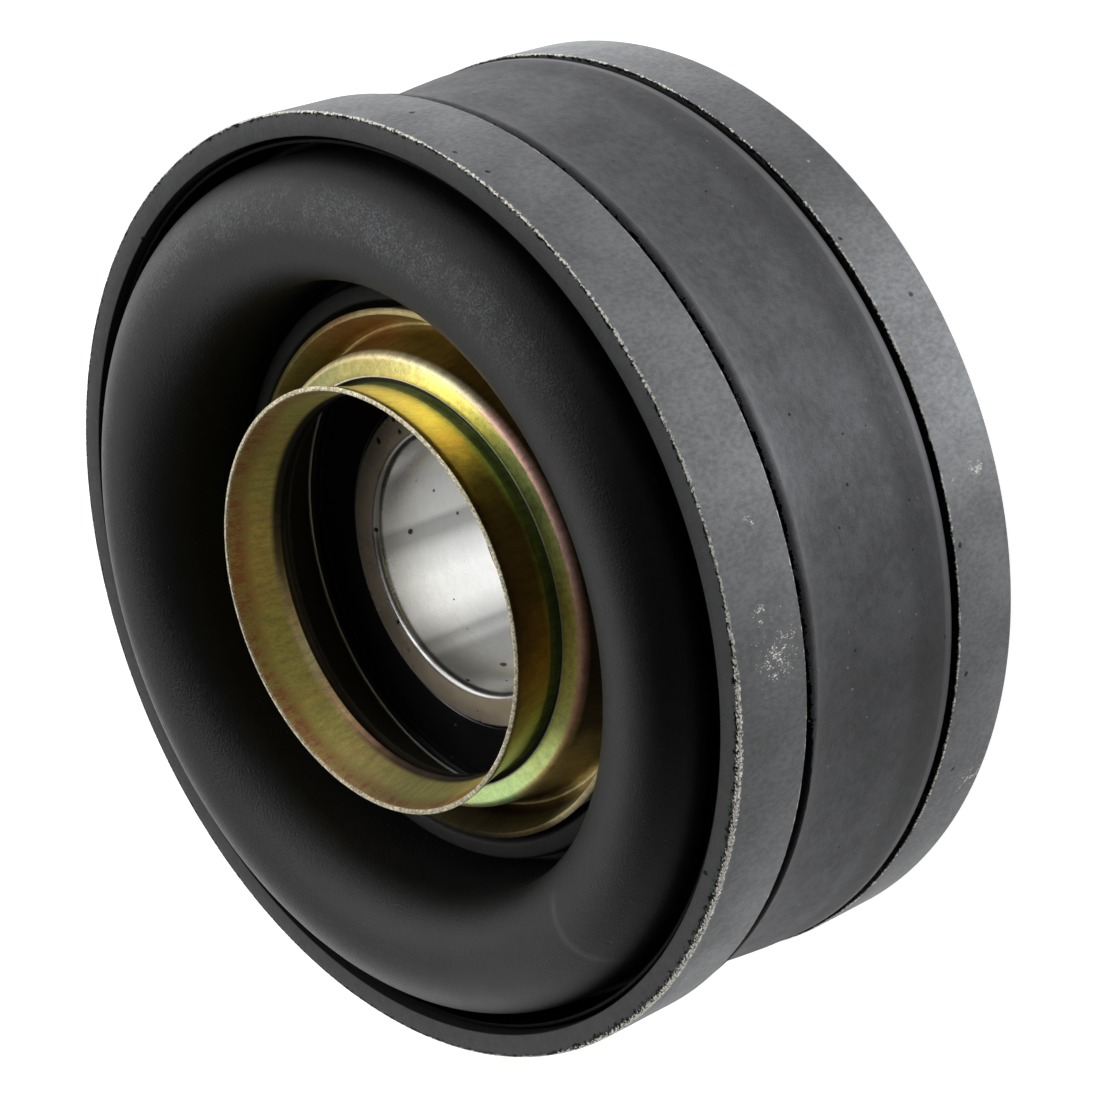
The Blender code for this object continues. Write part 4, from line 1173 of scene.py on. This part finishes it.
class CENTREBEARING_OT_balls(bpy.types.Operator):
    """Model the balls, and finish the riveted cage"""
    bl_idname = "centre_bearing.balls"
    bl_label = "Balls and Cage"

    def execute(self, context):
        bearing = context.scene.bearing_races
        middle = (bearing.front + bearing.rear) / 2
        start_clean()
        bpy.ops.mesh.primitive_cube_add(size=2 * bearing.ball, location=(0, 0, 0))
        ball = bpy.context.object
        ball.name = ball.data.name = "polished_ball_1"
        bpy.ops.object.mode_set(mode="EDIT")
        bpy.ops.mesh.select_all(action="SELECT")
        bpy.ops.mesh.subdivide(number_cuts=11)
        bpy.ops.object.mode_set(mode="OBJECT")
        swell = ball.modifiers.new("swell", "CAST")
        swell.factor = 1.0
        swell.size = bearing.ball
        swell.use_radius_as_size = False
        bpy.ops.object.modifier_apply(modifier="swell")
        ball.location = (bearing.pitch, 0, middle)
        bpy.ops.object.transform_apply(location=True, rotation=True, scale=True)
        for number in range(1, bearing.balls + 1):
            piece = ball
            if number > 1:
                piece = copy_piece(ball, f"polished_ball_{number}")
                bpy.ops.object.mode_set(mode="EDIT")
                bpy.ops.mesh.select_all(action="SELECT")
                bpy.ops.transform.rotate(value=-2 * math.pi * (number - 1) / bearing.balls, orient_axis="Z",
                                         center_override=(0, 0, middle))
                bpy.ops.object.mode_set(mode="OBJECT")
            finish_piece(piece, f"ball_{number}", "ball_steel", bpy.data.materials["Ball steel"], f"ball_{number}")
        for name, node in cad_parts.items():
            if "cage" in name:
                node.data.materials.clear()
                node.data.materials.append(bpy.data.materials["Cage steel"])
        return {"FINISHED"}


# Name, place, size and brightness of each softbox
SOFTBOXES = (("key", (0.60, 0.27, 0.82), (0.85, 0.85), 3.0),
             ("far", (-0.60, 1.25, 0.60), (1.2, 1.1), 1.15),
             ("far_side", (0.65, 1.25, 0.58), (1.0, 1.0), 0.95),
             ("side", (1.40, -0.10, 0.42), (1.2, 0.7), 0.8))


# Where the room is darkest: the side with the photographer's black cloth
DARK_SIDE = (0.0, -0.70, 0.71)
# The camera's place, and the directions that are right and up in its picture
CAMERA_PLACE = (0.0, -0.277757, 0.246837)
CAMERA_RIGHT = Vector((-0.35414166, -0.59722604, -0.71965599))
CAMERA_UP = Vector((0.93517811, -0.22199393, -0.2759721))


class CENTREBEARING_OT_stage(bpy.types.Operator):
    """Set up the floor, the lights and the camera"""
    bl_idname = "centre_bearing.stage"
    bl_label = "Stage"

    def execute(self, context):
        stage = context.scene.bearing_stage
        start_clean()
        bpy.ops.mesh.primitive_circle_add(vertices=96, radius=stage.floor_radius, fill_type="NGON",
                                          location=(0, 0, -0.0002))
        floor = bpy.context.object
        floor.name = "studio_floor"
        material = bpy.data.materials.new("Studio floor")
        material.use_nodes = True
        shader = material.node_tree.nodes["Principled BSDF"]
        shader.inputs["Base Color"].default_value = stage.floor_colour
        shader.inputs["Roughness"].default_value = 0.8
        shader.inputs["Specular IOR Level"].default_value = 0.1
        shader.inputs["Emission Color"].default_value = (1, 1, 1, 1)
        shader.inputs["Emission Strength"].default_value = stage.floor_glow
        floor.data.materials.append(material)

        for name, place, size, glow in SOFTBOXES:
            bpy.ops.object.light_add(type="AREA", location=place)
            light = bpy.context.object
            light.name = name + "_softbox"
            light.data.shape = "RECTANGLE"
            light.data.size, light.data.size_y = size
            light.data.energy = glow * math.pi * size[0] * size[1]
            light.rotation_euler = (Vector((0, 0, 0.02)) - Vector(place)).to_track_quat("-Z", "Y").to_euler()
            light.visible_camera = False

        world = bpy.data.worlds.new("Studio")
        context.scene.world = world
        world.use_nodes = True
        world.node_tree.nodes["Background"].inputs["Color"].default_value = (1, 1, 1, 1)
        room = world.node_tree
        toward = add_node(room, "ShaderNodeTexCoord").outputs["Generated"]
        facing = add_node(room, "ShaderNodeVectorMath", operation="DOT_PRODUCT",
                          inputs={0: toward, 1: DARK_SIDE}).outputs["Value"]
        glow = map_node(room, facing, 0.60, 0.96, stage.room_glow, 0.02)
        room.links.new(glow, room.nodes["Background"].inputs["Strength"])
        context.scene.view_settings.view_transform = "Standard"

        bpy.ops.object.camera_add(location=CAMERA_PLACE)
        camera = bpy.context.object
        camera.name = "product_camera"
        turned = Matrix((CAMERA_RIGHT, CAMERA_UP, CAMERA_RIGHT.cross(CAMERA_UP))).transposed()
        camera.rotation_euler = turned.to_euler()
        camera.data.lens = stage.lens
        camera.data.sensor_width = 36.0
        camera.data.clip_start = 0.01
        context.scene.camera = camera
        return {"FINISHED"}


class CENTREBEARING_PT_panel(bpy.types.Panel):
    """Lists the pieces and the stage"""
    bl_label = "Centre Bearing"
    bl_idname = "CENTREBEARING_PT_panel"
    bl_space_type = "VIEW_3D"
    bl_region_type = "UI"
    bl_category = "Centre Bearing"

    def draw(self, context):
        for operator in OPERATORS:
            self.layout.operator(operator.bl_idname)


SETTINGS = {"bearing_hoops": HoopSettings, "bearing_cushion": CushionSettings, "bearing_shields": ShieldSettings,
            "bearing_races": BearingSettings, "bearing_stage": StageSettings}
OPERATORS = (CENTREBEARING_OT_finishes, CENTREBEARING_OT_hoops, CENTREBEARING_OT_cushion, CENTREBEARING_OT_cups,
             CENTREBEARING_OT_collars, CENTREBEARING_OT_seals, CENTREBEARING_OT_races, CENTREBEARING_OT_balls,
             CENTREBEARING_OT_stage)


def register():
    """Add the settings, the operators and the panel."""
    for name, group in SETTINGS.items():
        bpy.utils.register_class(group)
        setattr(bpy.types.Scene, name, PointerProperty(type=group))
    for item in OPERATORS + (CENTREBEARING_PT_panel,):
        bpy.utils.register_class(item)


def unregister():
    """Take them away again."""
    for item in reversed(OPERATORS + (CENTREBEARING_PT_panel,)):
        bpy.utils.unregister_class(item)
    for name, group in SETTINGS.items():
        delattr(bpy.types.Scene, name)
        bpy.utils.unregister_class(group)


def main():
    """Build every piece."""
    register()
    for operator in OPERATORS:
        group, name = operator.bl_idname.split(".")
        done(getattr(getattr(bpy.ops, group), name)(), operator.bl_label)


if __name__ == "__main__":
    main()
